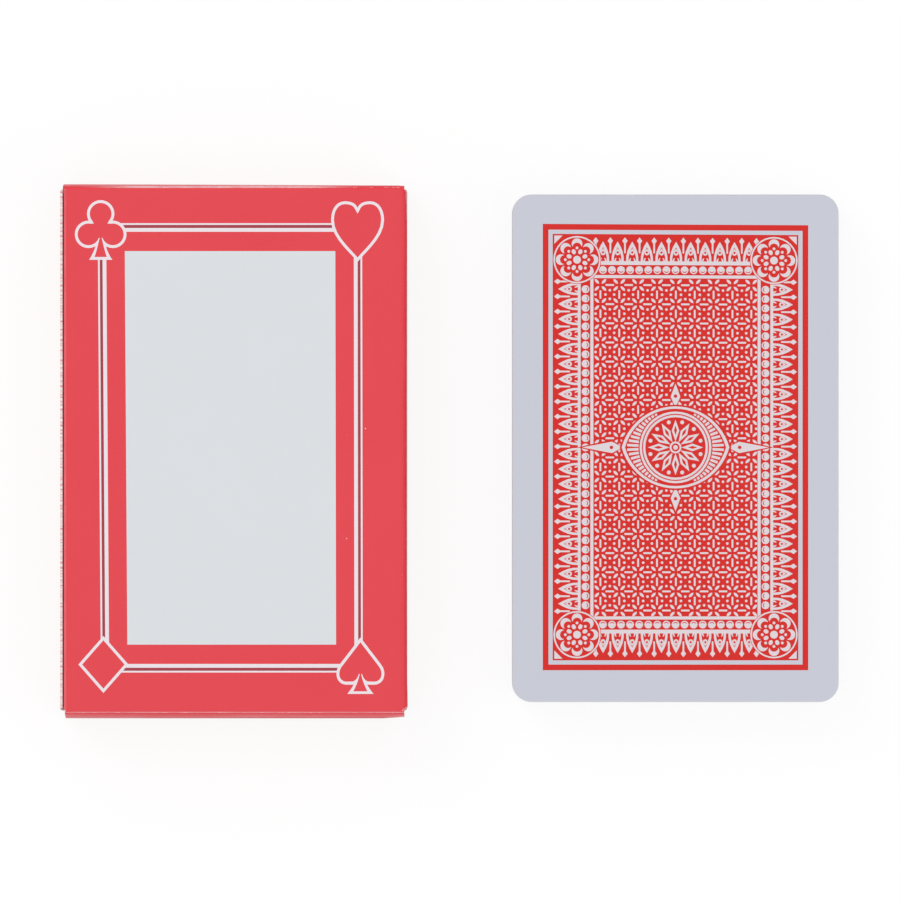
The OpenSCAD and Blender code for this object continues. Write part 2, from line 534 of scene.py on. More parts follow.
class MotifLayout:
    """Lays out copies of a printed motif with geometry nodes, in rows, grids and rings."""

    ORDER = "paint_order"

    @staticmethod
    def motif_object(motif: PrintPlate) -> Object:
        """Makes a flat mesh of a motif's patches, with the order in which they are painted.

        Args:
            motif: The motif's patches.

        Returns:
            A mesh object, which isn't part of the scene.
        """
        points: list[Corner] = []
        faces: list[list[int]] = []
        for outline, _ in motif.patches:
            faces.append(list(range(len(points), len(points) + len(outline))))
            points.extend((x, y, 0.0) for x, y in outline)
        mesh = bpy.data.meshes.new("motif")
        mesh.from_pydata(points, [], faces)
        order = mesh.attributes.new(MotifLayout.ORDER, "INT", "FACE")
        order.data.foreach_set("value", np.arange(len(faces), dtype=np.int32))
        return bpy.data.objects.new("motif", mesh)

    @staticmethod
    def tree(name: str, sizes: Sequence[str]) -> tuple[Tree, Inputs]:
        """Starts a node tree that has a motif, an ink and some sizes as its inputs.

        Args:
            name: Name of the tree.
            sizes: Names of its number inputs.

        Returns:
            The tree, and its inputs by name, as sockets to link from.
        """
        tree = bpy.data.node_groups.new(name, "GeometryNodeTree")
        counts = ("Count", "Columns", "Rows")
        kinds = {"Geometry": "Geometry", "Motif": "Object", "Ink": "Material"}
        kinds |= {size: "Int" if size in counts else "Float" for size in sizes}
        for size, kind in kinds.items():
            tree.interface.new_socket(size, in_out="INPUT", socket_type=f"NodeSocket{kind}")
        tree.interface.new_socket("Geometry", in_out="OUTPUT", socket_type="NodeSocketGeometry")
        return tree, {socket.name: socket for socket in tree.nodes.new("NodeGroupInput").outputs}

    @staticmethod
    def copies(tree: Tree, given: Inputs, points: Socket, turn: Socket | Corner = (0.0, 0.0, 0.0)) -> None:
        """Ends a tree: a copy of the motif on each point, made real and inked.

        Args:
            tree: The tree.
            given: Its inputs by name.
            points: The points that the copies sit on.
            turn: The turn of each copy.
        """
        motif = add_node(tree, "GeometryNodeObjectInfo", Object=given["Motif"], As_Instance=True)
        spread = add_node(tree, "GeometryNodeInstanceOnPoints", Points=points, Rotation=turn,
                          Instance=motif.outputs["Geometry"])
        real = add_node(tree, "GeometryNodeRealizeInstances", Geometry=spread.outputs["Instances"])
        ink = add_node(tree, "GeometryNodeSetMaterial", Geometry=real.outputs[0], Material=given["Ink"])
        add_node(tree, "NodeGroupOutput", Geometry=ink.outputs["Geometry"])

    def grid_tree(self) -> Tree:
        """Tree that sets copies on a centred grid, and leaves clear an oval in its middle."""
        sizes = ("Columns", "Rows", "Pitch X", "Pitch Y", "Clear X", "Clear Y")
        tree, given = self.tree("motif_grid", sizes)
        grid = tree.nodes.new("GeometryNodeMeshGrid")
        for axis, count in (("X", "Columns"), ("Y", "Rows")):
            span = maths(tree, "MULTIPLY", maths(tree, "SUBTRACT", given[count], 1.0), given[f"Pitch {axis}"])
            wire(tree, grid.inputs[f"Size {axis}"], span)
            wire(tree, grid.inputs[f"Vertices {axis}"], given[count])
        place = tree.nodes.new("GeometryNodeInputPosition")
        apart = add_node(tree, "ShaderNodeSeparateXYZ", Vector=place.outputs[0])
        across = maths(tree, "MULTIPLY", apart.outputs["X"], given["Clear Y"])
        along = maths(tree, "MULTIPLY", apart.outputs["Y"], given["Clear X"])
        whole = maths(tree, "MULTIPLY", given["Clear X"], given["Clear Y"])
        squares = [maths(tree, "MULTIPLY", side, side) for side in (across, along, whole)]
        inside = maths(tree, "LESS_THAN", maths(tree, "ADD", squares[0], squares[1]), squares[2])
        cleared = add_node(tree, "GeometryNodeDeleteGeometry", Geometry=grid.outputs[0], Selection=inside)
        self.copies(tree, given, cleared.outputs["Geometry"])
        return tree

    def ring_tree(self) -> Tree:
        """Tree that sets copies round a circle, each turned to face outwards."""
        tree, given = self.tree("motif_ring", ("Count", "Radius", "First turn"))
        line = add_node(tree, "GeometryNodeMeshLine", Count=given["Count"])
        index = tree.nodes.new("GeometryNodeInputIndex")
        share = maths(tree, "DIVIDE", index.outputs[0], given["Count"])
        angle = maths(tree, "ADD", maths(tree, "MULTIPLY", share, math.tau), given["First turn"])
        x, y = (maths(tree, "MULTIPLY", maths(tree, way, angle), given["Radius"])
                for way in ("COSINE", "SINE"))
        place = add_node(tree, "ShaderNodeCombineXYZ", X=x, Y=y)
        bent = add_node(tree, "GeometryNodeSetPosition", Geometry=line.outputs[0], Position=place.outputs[0])
        turn = add_node(tree, "ShaderNodeCombineXYZ", Z=angle)
        self.copies(tree, given, bent.outputs["Geometry"], turn.outputs[0])
        return tree

    def lay(self, plate: PrintPlate, motif: PrintPlate, tree: Tree, **sizes: float) -> None:
        """Paints every copy of a motif on a plate.

        Args:
            plate: The plate that is painted.
            motif: The motif's patches, about its own origin.
            tree: The tree that lays them out.
            sizes: The tree's number inputs, with _ for a space.
        """
        source = self.motif_object(motif)
        holder = link("layout", bpy.data.meshes.new("layout"))
        ink = bpy.data.materials.new("layout_ink")
        modifier = holder.modifiers.new("layout", "NODES")
        modifier.node_group = tree
        wanted = {name.replace("_", " "): size for name, size in sizes.items()}
        wanted |= {"Motif": source, "Ink": ink}
        for item in tree.interface.items_tree:
            if item.in_out == "INPUT" and item.name in wanted:
                modifier[item.identifier] = wanted[item.name]
        laid = taken_mesh(holder)
        order = np.zeros(len(laid.polygons), np.int32)
        laid.attributes[self.ORDER].data.foreach_get("value", order)
        places = [(v.co.x, v.co.y) for v in laid.vertices]
        for face in sorted(laid.polygons, key=lambda f: order[f.index]):
            plate.paint(motif.patches[order[face.index]][1], [places[v] for v in face.vertices])
        bpy.data.objects.remove(source)
        bpy.data.meshes.remove(laid)
        bpy.data.materials.remove(ink)


@dataclass
class CardBackPrint:
    """Red back of the cards: rules, an arcade, beads, corner rosettes, a lattice and a medallion.

    A pair of sizes is one for the long sides and one for the ends, or one across and one along the card.
    """

    shift_y: float = 0.245  # How far the print lies off the card's middle, along the card
    top_tilt: float = 0.0049  # Slope of the print's top end
    rule: Point = (46.58, 78.21)  # Outer width and length of the red rule
    red_rule: float = 1.0  # Width of the red rule's line
    white_rule: float = 0.74  # Width of the white rule inside it
    arcade: Point = (4.415, 4.725)  # Depths of the arcade
    base_line: Point = (0.49, 0.66)  # Widths of the line that the arches stand on
    bead_strip: Point = (1.7, 1.78)  # Depths of the beads' strip
    inner_line: float = 0.54  # Width of the line round the lattice
    arches: Counts = (22, 11)  # How many arches there are along a side and an end
    arch_pitch: Point = (2.627, 2.563)  # Steps from arch to arch
    arcade_off: Point = (0.1, 0.15)  # How far the arches lie off the middle, along the ends and sides
    beads: Counts = (35, 17)  # How many beads there are along a side and an end
    bead_pitch: Point = (1.63, 1.593)  # Steps from bead to bead
    bead_r: float = 0.7  # Radius of a bead
    rosette_in: Point = (4.27, 4.5)  # How far a rosette's middle lies from the field's side and end
    rosette_r: float = 4.15  # Radius of a rosette's ring
    petals: int = 8  # Petals of a rosette
    lattice: Counts = (9, 18)  # Columns and rows of stars in the lattice
    lattice_pitch: Point = (3.31, 3.358)  # Steps of the lattice
    lattice_off: Point = (0.06, -0.08)  # How far the lattice lies off the middle
    dot_r: float = 0.25  # Radius of the lattice's dots
    lattice_under: Point = (1.3, 1.0)  # How far the lattice runs in under the medallion
    medallion: Point = (9.45, 7.2)  # Half the medallion's width and height
    medallion_line: float = 0.42  # Width of the medallion's line
    lozenge_reach: Point = (16.4, 11.2)  # How far from the middle the lozenges off its points end
    lozenge_half_w: Point = (1.0, 0.85)  # Half the lozenges' widths
    rose_r: float = 5.2  # Radius of the compass rose inside it
    rose_points: int = 12  # Points of the compass rose

    def __post_init__(self) -> None:
        """Builds the node trees, and works out half the size of each frame, from the rule inwards."""
        self.layout = MotifLayout()
        self.grid = self.layout.grid_tree()
        self.ring = self.layout.ring_tree()
        half_strip = np.array(self.bead_strip) / 2
        self.outer = np.array(self.rule) / 2
        self.field = self.outer - (self.red_rule + self.white_rule)
        self.base = self.field - self.arcade
        self.bead_row = self.base - self.base_line - half_strip
        self.line = self.bead_row - half_strip

    def plate(self) -> PrintPlate:
        """Makes the whole back.

        Returns:
            The plate, about the card's middle.
        """
        drawn = PrintPlate(CardSlot.STOCK)
        self.paint_rules(drawn)
        self.paint_arcade(drawn)
        self.paint_beads(drawn)
        self.paint_lattice(drawn)
        self.paint_rosettes(drawn)
        self.paint_medallion(drawn)
        plate = PrintPlate(CardSlot.STOCK)
        plate.lay(drawn, self.registered)
        return plate

    def registered(self, outline: Outline) -> Outline:
        """Shifts an outline as the print lies off the card's middle, and tilts the print's upper half."""
        return [(x, y + self.shift_y - self.top_tilt * x * max(0.0, y) / self.field[1]) for x, y in outline]

    def paint_rules(self, plate: PrintPlate) -> None:
        """Paints the rules, the field, and the lines that part the borders."""
        frames = ((CardSlot.RED, self.outer), (CardSlot.STOCK, self.outer - self.red_rule),
                  (CardSlot.RED, self.field), (CardSlot.FINE, self.base),
                  (CardSlot.RED, self.base - self.base_line), (CardSlot.FINE, self.line),
                  (CardSlot.RED, self.line - self.inner_line))
        for slot, half in frames:
            plate.paint(slot, box_outline(*half))

    def paint_border(self, plate: PrintPlate, motif: PrintPlate, counts: Counts, pitches: Point, base: Array,
                     off: Point = (0.0, 0.0)) -> None:
        """Paints a row of a motif along each end and then along each side, turned outwards.

        Args:
            plate: The plate that is painted.
            motif: The motif, about its own origin.
            counts: How many there are along a side and an end.
            pitches: Their steps along a side and an end.
            base: How far from the middle the rows lie, at the sides and the ends.
            off: How far the rows are shifted, along the ends and along the sides.
        """
        for k, turns, shift in ((1, (0, 180), (off[0], 0.0)), (0, (90, 270), (0.0, off[1]))):
            row = PrintPlate(CardSlot.RED)
            self.layout.lay(row, motif, self.grid, Columns=counts[k], Rows=1, Pitch_X=pitches[k],
                            Pitch_Y=pitches[k], Clear_X=0.0, Clear_Y=0.0)
            for turn in turns:
                plate.lay(row, lambda o, t=turn, b=base[k], s=shift: moved(moved(o, (0.0, b)), s, t))

    def arch(self) -> PrintPlate:
        """One arch with the eye and leaves inside it, standing on the X axis."""
        outer, inner = (1.08, 3.46), (0.68, 2.5)
        eye, eye_r, eye_tip = (0.0, 1.46), 0.44, (0.0, 2.24)
        pupil, pupil_r = (0.0, 1.54), 0.25
        foot_leaf = ((0.66, 0.0), (0.34, 0.0), (0.2, 0.6), (0.42, 0.5))
        motif = PrintPlate(CardSlot.RED)
        motif.paint(CardSlot.FINE, lancet(*outer, 4))
        motif.paint(CardSlot.RED, lancet(*inner, 3))
        motif.paint(CardSlot.FINE, [eye_tip, *arc(eye, eye_r, 145, 395, 6)])
        motif.paint(CardSlot.RED, disc(pupil_r, 4, pupil))
        for side in (-1, 1):
            motif.paint(CardSlot.FINE, [(side * x, y) for x, y in foot_leaf])
        return motif

    def spear(self) -> PrintPlate:
        """One spear between two arches, above the X axis."""
        half = [(0.0, 1.4), (0.14, 1.4), (0.16, 3.1), (0.47, 3.57), (0.0, 4.18)]
        motif = PrintPlate(CardSlot.RED)
        motif.paint(CardSlot.FINE, mirrored(half))
        return motif

    def paint_arcade(self, plate: PrintPlate) -> None:
        """Paints the rows of arches, and a spear on either side of each."""
        spears = (self.arches[0] + 1, self.arches[1] + 1)
        for motif, counts in ((self.arch(), self.arches), (self.spear(), spears)):
            self.paint_border(plate, motif, counts, self.arch_pitch, self.base, self.arcade_off)

    def paint_beads(self, plate: PrintPlate) -> None:
        """Paints the rows of beads, each with a crescent of shade on the side of the card's middle."""
        lower, upper = arc((0.0, -0.02), 0.46, 205, 335, 4), arc((0.0, 0.1), 0.42, 325, 215, 3)
        motif = PrintPlate(CardSlot.RED)
        motif.paint(CardSlot.FINE, disc(self.bead_r, 10))
        motif.paint(CardSlot.RED, [*lower, *upper])
        self.paint_border(plate, motif, self.beads, self.bead_pitch, self.bead_row)

    def paint_lattice(self, plate: PrintPlate) -> None:
        """Paints the lattice: stars of four leaves, dashes between them, and four dots in each cell."""
        leaf_from, leaf_to, leaf_half_w = (0.3, 0.0), (1.46, 0.0), 0.225
        dots_out, side_in, dash_half, upright_half = 0.76, 0.8, (0.74, 0.16), (0.155, 0.73)
        clear_x, clear_y = (a - b for a, b in zip(self.medallion, self.lattice_under, strict=True))
        (columns, rows), (pitch_x, pitch_y) = self.lattice, self.lattice_pitch
        lattice, star, dash, upright, dots, single = (PrintPlate(CardSlot.RED) for _ in range(6))
        for turn in (0, 90, 180, 270):
            star.paint(CardSlot.FINE, moved(leaf(leaf_from, leaf_to, leaf_half_w), turn=45 + turn))
            dots.paint(CardSlot.FINE, moved(disc(self.dot_r, 6), moved([(dots_out, 0.0)], turn=turn)[0]))
        dash.paint(CardSlot.FINE, box_outline(*dash_half))
        upright.paint(CardSlot.FINE, box_outline(*upright_half))
        single.paint(CardSlot.FINE, disc(self.dot_r, 6))
        side_dots = columns * pitch_x - 2 * side_in
        for motif, across, along, step in (
            (star, columns, rows, pitch_x),
            (dash, columns - 1, rows, pitch_x),
            (upright, columns, rows - 1, pitch_x),
            (dots, columns - 1, rows - 1, pitch_x),
            (single, 2, rows - 1, side_dots),
        ):
            self.layout.lay(lattice, motif, self.grid, Columns=across, Rows=along, Pitch_X=step,
                            Pitch_Y=pitch_y, Clear_X=clear_x, Clear_Y=clear_y)
        plate.lay(lattice, lambda outline: moved(outline, self.lattice_off))

    def rosette(self) -> PrintPlate:
        """One corner rosette: a ring, eight petals, a ring of pips and dots, and its eye."""
        ring_line, shade, half_step = 0.27, 0.1, math.pi / self.petals
        motif = PrintPlate(CardSlot.RED)
        motif.paint(CardSlot.RED, disc(self.rosette_r + shade, 32))
        motif.paint(CardSlot.FINE, disc(self.rosette_r, 32))
        motif.paint(CardSlot.RED, disc(self.rosette_r - ring_line, 32))
        for slot, outline, radius, first in (
            (CardSlot.FINE, disc(0.95, 14), 2.8, 0.0),
            (CardSlot.RED, disc(0.8, 12), 2.2, 0.0),
            (CardSlot.FINE, disc(0.47, 8, stretch=0.8), 1.5, half_step),
            (CardSlot.FINE, disc(0.27, 6), 2.06, 0.0),
        ):
            patch = PrintPlate(CardSlot.RED)
            patch.paint(slot, outline)
            self.layout.lay(motif, patch, self.ring, Count=self.petals, Radius=radius, First_turn=first)
        motif.paint(CardSlot.FINE, disc(0.7, 12))
        return motif

    def paint_rosettes(self, plate: PrintPlate) -> None:
        """Paints a rosette in each corner of the field, and a small triangle outside it."""
        leg, off = 1.45, 0.28
        rosette = self.rosette()
        for corner in ((-1, -1), (-1, 1), (1, -1), (1, 1)):
            plate.lay(rosette, lambda o, m=tuple(corner * (self.field - self.rosette_in)): moved(o, m))
            x, y = corner * (self.field - off)
            plate.paint(CardSlot.FINE, [(x, y), (x - corner[0] * leg, y), (x, y - corner[1] * leg)])

    def paint_medallion(self, plate: PrintPlate) -> None:
        """Paints the medallion: a pointed oval that holds a compass rose, with a lozenge off each point."""
        (w, h), line, points = self.medallion, self.medallion_line, self.rose_points
        shade_x, shade_y, ring_gaps, ring_line = 0.35, 0.3, (1.1, 0.5), 0.4
        ray_at, gem_at, fine_rays_gap = 2.85, 4.55, 1.3
        lozenges = zip(self.medallion, self.lozenge_reach, self.lozenge_half_w, (0, 90), strict=True)
        for start, reach, half_w, turn in lozenges:
            self.paint_lozenge(plate, start, reach, half_w, turn)
            self.paint_lozenge(plate, start, reach, half_w, turn + 180)
        for slot, half_w, half_h in ((CardSlot.RED, w + shade_x, h + shade_y), (CardSlot.FINE, w, h),
                                     (CardSlot.RED, w - 1.4 * line, h - line)):
            plate.paint(slot, lens(half_w, half_h, 24))
        for gap in ring_gaps:
            plate.paint(CardSlot.FINE, disc(self.rose_r + gap, 36))
            plate.paint(CardSlot.RED, disc(self.rose_r + gap - ring_line, 36))
        ray, gem = PrintPlate(CardSlot.RED), PrintPlate(CardSlot.RED)
        ray.paint(CardSlot.FINE, [(-1.8, 0.0), (0.1, -0.66), (2.0, 0.0), (0.1, 0.66)])
        ray.paint(CardSlot.RED, [(-0.7, 0.0), (0.15, -0.26), (1.0, 0.0), (0.15, 0.26)])
        gem.paint(CardSlot.FINE, disc(0.36, 8))
        self.layout.lay(plate, ray, self.ring, Count=points, Radius=ray_at, First_turn=0.0)
        self.layout.lay(plate, gem, self.ring, Count=points, Radius=gem_at, First_turn=math.pi / points)
        eye = ((CardSlot.FINE, 1.05, 16), (CardSlot.RED, 0.72, 14), (CardSlot.FINE, 0.42, 10))
        for slot, radius, steps in eye:
            plate.paint(slot, disc(radius, steps))
        self.paint_rays(plate, self.rose_r + fine_rays_gap)

    def paint_lozenge(self, plate: PrintPlate, start: float, reach: float, half_w: float,
                      turn: float) -> None:
        """Paints one of the lozenges off the medallion's points.

        Args:
            plate: The plate that is painted.
            start: How far from the middle the medallion ends there.
            reach: How far from the middle the lozenge ends.
            half_w: Half the lozenge's width.
            turn: Its direction, in degrees.
        """
        overlap, widest, shade, eye_at, eye_r = 0.2, start + 1.7, 0.4, start + 1.8, 0.34
        for slot, grow in ((CardSlot.RED, shade), (CardSlot.FINE, 0.0)):
            tip, side = reach + 2 * grow, half_w + grow
            kite = [(start - overlap, 0.0), (widest, -side), (tip, 0.0), (widest, side)]
            plate.paint(slot, moved(kite, turn=turn))
        plate.paint(CardSlot.RED, moved(disc(eye_r, 6, (eye_at, 0.0)), turn=turn))

    def paint_rays(self, plate: PrintPlate, start: float) -> None:
        """Paints the fine rays between the compass rose and the medallion's line.

        Args:
            plate: The plate that is painted.
            start: Radius at which the rays start.
        """
        rays, half_w, shortest, stop_x, stop_y = 64, 0.22, 0.25, 0.85, 0.62
        edge = np.array(lens(self.medallion[0] - stop_x, self.medallion[1] - stop_y, 60))
        turns = np.arctan2(edge[:, 1], edge[:, 0])
        order = np.argsort(turns)
        for k in range(rays):
            turn = math.tau * (k + 0.5) / rays - math.pi
            end = float(np.interp(turn, turns[order], np.hypot(edge[order, 0], edge[order, 1])))
            if end - start > shortest:
                ray = box_outline((end - start) / 2, half_w, ((end + start) / 2, 0.0))
                plate.paint(CardSlot.FINE, moved(ray, turn=math.degrees(turn)))


@dataclass
class CardFacePrint:
    """Faces of the cards: indices in two corners, pips in the usual places, and crowns on the court cards."""

    card_w: float  # Width of a card
    card_l: float  # Length of a card
    index_h: float = 6.2  # Height of an index's letter or number
    index_in: Point = (5.2, 7.2)  # How far an index's middle lies from the card's side and end
    pip_h: float = 10.5  # Height of a pip
    pip_out: Point = (12.0, 29.0)  # How far the outer columns and rows of pips lie from the middle
    court_frame: Point = (18.6, 34.0)  # Half the width and height of a court card's frame
    frame_line: float = 0.4  # Width of that frame's line

    DRAWN_H = 10.0
    LETTERS = {"ace": "A", "jack": "J", "queen": "Q", "king": "K"}
    NUMBERS = ("ace", "two", "three", "four", "five", "six", "seven", "eight", "nine", "ten")
    COURT_POINTS = {"jack": 3, "queen": 5, "king": 7}
    COLUMN_ROWS = {4: (1.0,), 5: (1.0,), 6: (1.0, 0.0), 7: (1.0, 0.0), 8: (1.0, 0.0),
                   9: (1.0, 1 / 3), 10: (1.0, 1 / 3)}
    MIDDLE_ROWS = {1: (0.0,), 2: (1.0, -1.0), 3: (1.0, 0.0, -1.0), 5: (0.0,), 7: (0.5,), 8: (0.5, -0.5),
                   9: (0.0,), 10: (2 / 3, -2 / 3)}

    def plate(self, rank: str, suit: Suit) -> PrintPlate:
        """Makes one face, as it is seen with the card turned over.

        Args:
            rank: The card's rank, as its name gives it.
            suit: The card's suit.

        Returns:
            The plate, about the card's middle.
        """
        plate = PrintPlate(CardSlot.STOCK)
        if rank in self.NUMBERS:
            self.paint_pips(plate, self.NUMBERS.index(rank) + 1, suit)
        else:
            self.paint_court(plate, rank, suit)
        self.paint_indices(plate, rank, suit)
        return plate

    def paint_suit(self, plate: PrintPlate, suit: Suit, middle: Point, height: float, turn: float) -> None:
        """Paints one pip of that height, with that middle and turned by that many degrees."""
        for outline in SuitShapes(steps=4).of(suit):
            plate.paint(suit.ink, moved(outline, middle, turn, height / self.DRAWN_H))

    def paint_pips(self, plate: PrintPlate, count: int, suit: Suit) -> None:
        """Paints a number card's pips, those in the lower half upside down.

        Args:
            plate: The plate that is painted.
            count: How many pips there are.
            suit: Their suit.
        """
        rows = self.COLUMN_ROWS.get(count, ())
        shares = sorted({*rows, *[-r for r in rows]})
        column, row = self.pip_out
        places = [(side * column, share * row) for side in (-1, 1) for share in shares]
        places += [(0.0, share * row) for share in self.MIDDLE_ROWS.get(count, ())]
        height = 1.6 * self.pip_h if count == 1 else self.pip_h
        for x, y in places:
            self.paint_suit(plate, suit, (x, y), height, 180.0 if y < 0 else 0.0)

    def paint_court(self, plate: PrintPlate, rank: str, suit: Suit) -> None:
        """Paints a court card's frame, its pips, and a crown at each end whose points tell the rank.

        Args:
            plate: The plate that is painted.
            rank: The card's rank.
            suit: The card's suit.
        """
        (w, h), line = self.court_frame, self.frame_line
        bars = ((1.2, 0.0), (0.5, 3.0), (0.5, -3.0))
        plate.paint(suit.ink, box_outline(w, h))
        plate.paint(CardSlot.STOCK, box_outline(w - line, h - line))
        plate.paint(CardSlot.RED, *[box_outline(w - 3 * line, half_h, (0.0, y)) for half_h, y in bars])
        points = self.COURT_POINTS[rank]
        half_w, low, dip, high = 11.0, 15.0, 19.5, 26.0
        base_half_w, band_half_w, band_y = half_w * 0.86, half_w * 0.8, low + 1.7
        step = 2 * half_w / (points - 1)
        tips = [(half_w - step * k, high) for k in range(points)]
        dips = [(half_w - step * (k + 0.5), dip) for k in range(points - 1)]
        zigzag = [p for pair in zip(tips, [*dips, None], strict=True) for p in pair if p is not None]
        crown = [(-base_half_w, low), (base_half_w, low), *zigzag]
        for turn in (0.0, 180.0):
            plate.paint(suit.ink, moved(crown, turn=turn))
            plate.paint(CardSlot.STOCK, moved(box_outline(band_half_w, 0.5, (0.0, band_y)), turn=turn))
            plate.paint(suit.ink, *[moved(disc(1.1, 8, (x, y + 0.7)), turn=turn) for x, y in tips])
            self.paint_suit(plate, suit, moved([(0.0, 9.2)], turn=turn)[0], 0.75 * self.pip_h, turn)

    def letter(self, text: str) -> list[Outline]:
        """Outlines of an index's letter or number.

        Args:
            text: The letter or number.

        Returns:
            Its faces, with its middle at the origin.
        """
        capital_h, squeeze = 0.72, 0.86
        curve = bpy.data.curves.new("index", "FONT")
        curve.body, curve.align_x, curve.align_y, curve.resolution_u = text, "CENTER", "CENTER", 3
        curve.size = self.index_h / capital_h
        mesh = taken_mesh(link("index", curve))
        places = [(v.co.x, v.co.y) for v in mesh.vertices]
        found = [[places[v] for v in face.vertices] for face in mesh.polygons]
        bpy.data.curves.remove(curve)
        bpy.data.meshes.remove(mesh)
        heights = [y for face in found for _, y in face]
        middle = (min(heights) + max(heights)) / 2
        return [[(x * squeeze, y - middle) for x, y in face] for face in found]

    def paint_indices(self, plate: PrintPlate, rank: str, suit: Suit) -> None:
        """Paints the index in the upper left corner, and again in the lower right, upside down.

        Args:
            plate: The plate that is painted.
            rank: The card's rank.
            suit: The card's suit.
        """
        text = self.LETTERS.get(rank) or str(self.NUMBERS.index(rank) + 1)
        x, y = self.index_in[0] - self.card_w / 2, self.card_l / 2 - self.index_in[1]
        faces = self.letter(text)
        for turn in (0.0, 180.0):
            plate.paint(suit.ink, *[moved(moved(face, (x, y)), turn=turn) for face in faces])
            below = moved([(x, y - self.index_h * 1.05)], turn=turn)[0]
            self.paint_suit(plate, suit, below, 0.8 * self.index_h, turn)


@dataclass
class FrontPrint:
    """Print of the carton's front: a pale window, a frame of two lines, and a suit at each corner."""

    shift: Point = (-0.47, 0.367)  # How far the print lies off the panel's middle
    left_lean: float = -0.0071  # How far the frame's left side leans, as a share of its height
    right_lean: float = -0.0014  # How far its right side leans
    window: Point = (18.385, 34.515)  # Half the window's width and height
    thick_in: Point = (21.615, 37.9)  # Half width and half height inside the frame's thick line
    thick_line: float = 0.67  # Width of the thick line
    thin_in: Point = (22.77, 39.1)  # Half width and half height inside the frame's thin line
    thin_line: float = 0.31  # Width of the thin line
    club_at: Point = (-22.84, 38.22)  # Where the club lies, from the print's middle
    heart_at: Point = (22.22, 38.22)  # Where the heart lies
    diamond_at: Point = (-22.36, -38.0)  # Where the diamond lies
    spade_at: Point = (22.72, -38.21)  # Where the spade lies
    stroke: float = 0.5  # Width of the suits' outline

    def plate(self) -> PrintPlate:
        """Makes the print.

        Returns:
            The plate, about the front panel's middle.
        """
        lines, suits, plate = (PrintPlate(BoardSlot.RED) for _ in range(3))
        self.paint_frame(lines)
        for suit, middle in ((Suit.CLUBS, self.club_at), (Suit.HEARTS, self.heart_at),
                             (Suit.DIAMONDS, self.diamond_at), (Suit.SPADES, self.spade_at)):
            self.paint_suit(suits, suit, middle)
        plate.lay(lines, lambda outline: moved(self.leant(outline), self.shift))
        plate.lay(suits, lambda outline: moved(outline, self.shift))
        return plate

    def leant(self, outline: Outline) -> Outline:
        """Leans an outline as the frame leans where it lies."""
        middle, half_w = (self.left_lean + self.right_lean) / 2, self.thin_in[0]
        return [(x + y * (middle + (self.right_lean - middle) * x / half_w), y) for x, y in outline]

    def paint_frame(self, plate: PrintPlate) -> None:
        """Paints the two lines, the shade between them, and the window."""
        for (half_w, half_h), line, slot in (
            (self.thin_in, self.thin_line, BoardSlot.LINE),
            (self.thin_in, 0.0, BoardSlot.DEEP_RED),
            (self.thick_in, self.thick_line, BoardSlot.LINE),
            (self.thick_in, 0.0, BoardSlot.RED),
            (self.window, 0.0, BoardSlot.BARE),
        ):
            plate.paint(slot, box_outline(half_w + line, half_h + line))

    def paint_suit(self, plate: PrintPlate, suit: Suit, middle: Point) -> None:
        """Paints a suit in outline, with that middle."""
        shapes = SuitShapes()
        plate.paint(BoardSlot.LINE, *[moved(outline, middle) for outline in shapes.of(suit)])
        plate.paint(BoardSlot.RED, *[moved(outline, middle) for outline in shapes.hollow(suit, self.stroke)])


# Finishes


class Finish:
    """A material that is being made: its node tree, and short ways to add to it."""

    def __init__(self, name: str, colour: Sequence[float], roughness: float) -> None:
        """Starts a material.

        Args:
            name: Name of the material.
            colour: Its plain colour.
            roughness: Its plain roughness.
        """
        self.material = bpy.data.materials.new(name)
        self.material.use_nodes = True
        self.material.diffuse_color = (*colour, 1.0)
        self.tree = self.material.node_tree
        self.shader = next(n for n in self.tree.nodes if n.type == "BSDF_PRINCIPLED")
        self.set("Base Color", (*colour, 1.0))
        self.set("Roughness", roughness)

    def set(self, socket: str, value: object) -> None:
        """Sets one of the shader's sockets."""
        self.shader.inputs[socket].default_value = value

    def feed(self, socket: str, source: Socket) -> None:
        """Links a socket of the shader."""
        self.tree.links.new(source, self.shader.inputs[socket])

    def add(self, kind: str, **inputs: object) -> Node:
        """Adds a node, with values or sources of its inputs by name, and _ for a space."""
        return add_node(self.tree, kind, **inputs)

    def maths(self, operation: str, *values: Socket | float) -> Socket:
        """Adds a sum of values or sources, and returns its result."""
        return maths(self.tree, operation, *values)

    def noise(self, place: Socket, scale: float, detail: float = 3.0) -> Socket:
        """Adds a noise of that many patches to the unit, and returns its value."""
        node = self.add("ShaderNodeTexNoise", Vector=place, Scale=scale, Detail=detail, Roughness=0.6)
        return node.outputs[0]

    def span(self, source: Socket, low: float, high: float, to_low: float, to_high: float) -> Socket:
        """Maps a source from one range to another, held at the ends, and returns the result."""
        node = self.add("ShaderNodeMapRange", Value=source, From_Min=low, From_Max=high, To_Min=to_low,
                        To_Max=to_high)
        node.interpolation_type = "SMOOTHSTEP"
        return node.outputs[0]

    def mix(self, share: Socket, a: Socket | Colour, b: Socket | Colour) -> Socket:
        """Mixes two colours or sources of colour, and returns the result."""
        node = self.tree.nodes.new("ShaderNodeMix")
        node.data_type = "RGBA"
        wire(self.tree, node.inputs[0], share)
        for socket, value in ((node.inputs[6], a), (node.inputs[7], b)):
            wire(self.tree, socket, value if isinstance(value, Socket) else (*value, 1.0))
        return node.outputs[2]

    def bump(self, height: Socket, strength: float, depth: float) -> None:
        """Raises the surface by a height of that depth, in millimetres."""
        node = self.add("ShaderNodeBump", Height=height, Strength=strength, Distance=depth * MM)
        self.feed("Normal", node.outputs[0])


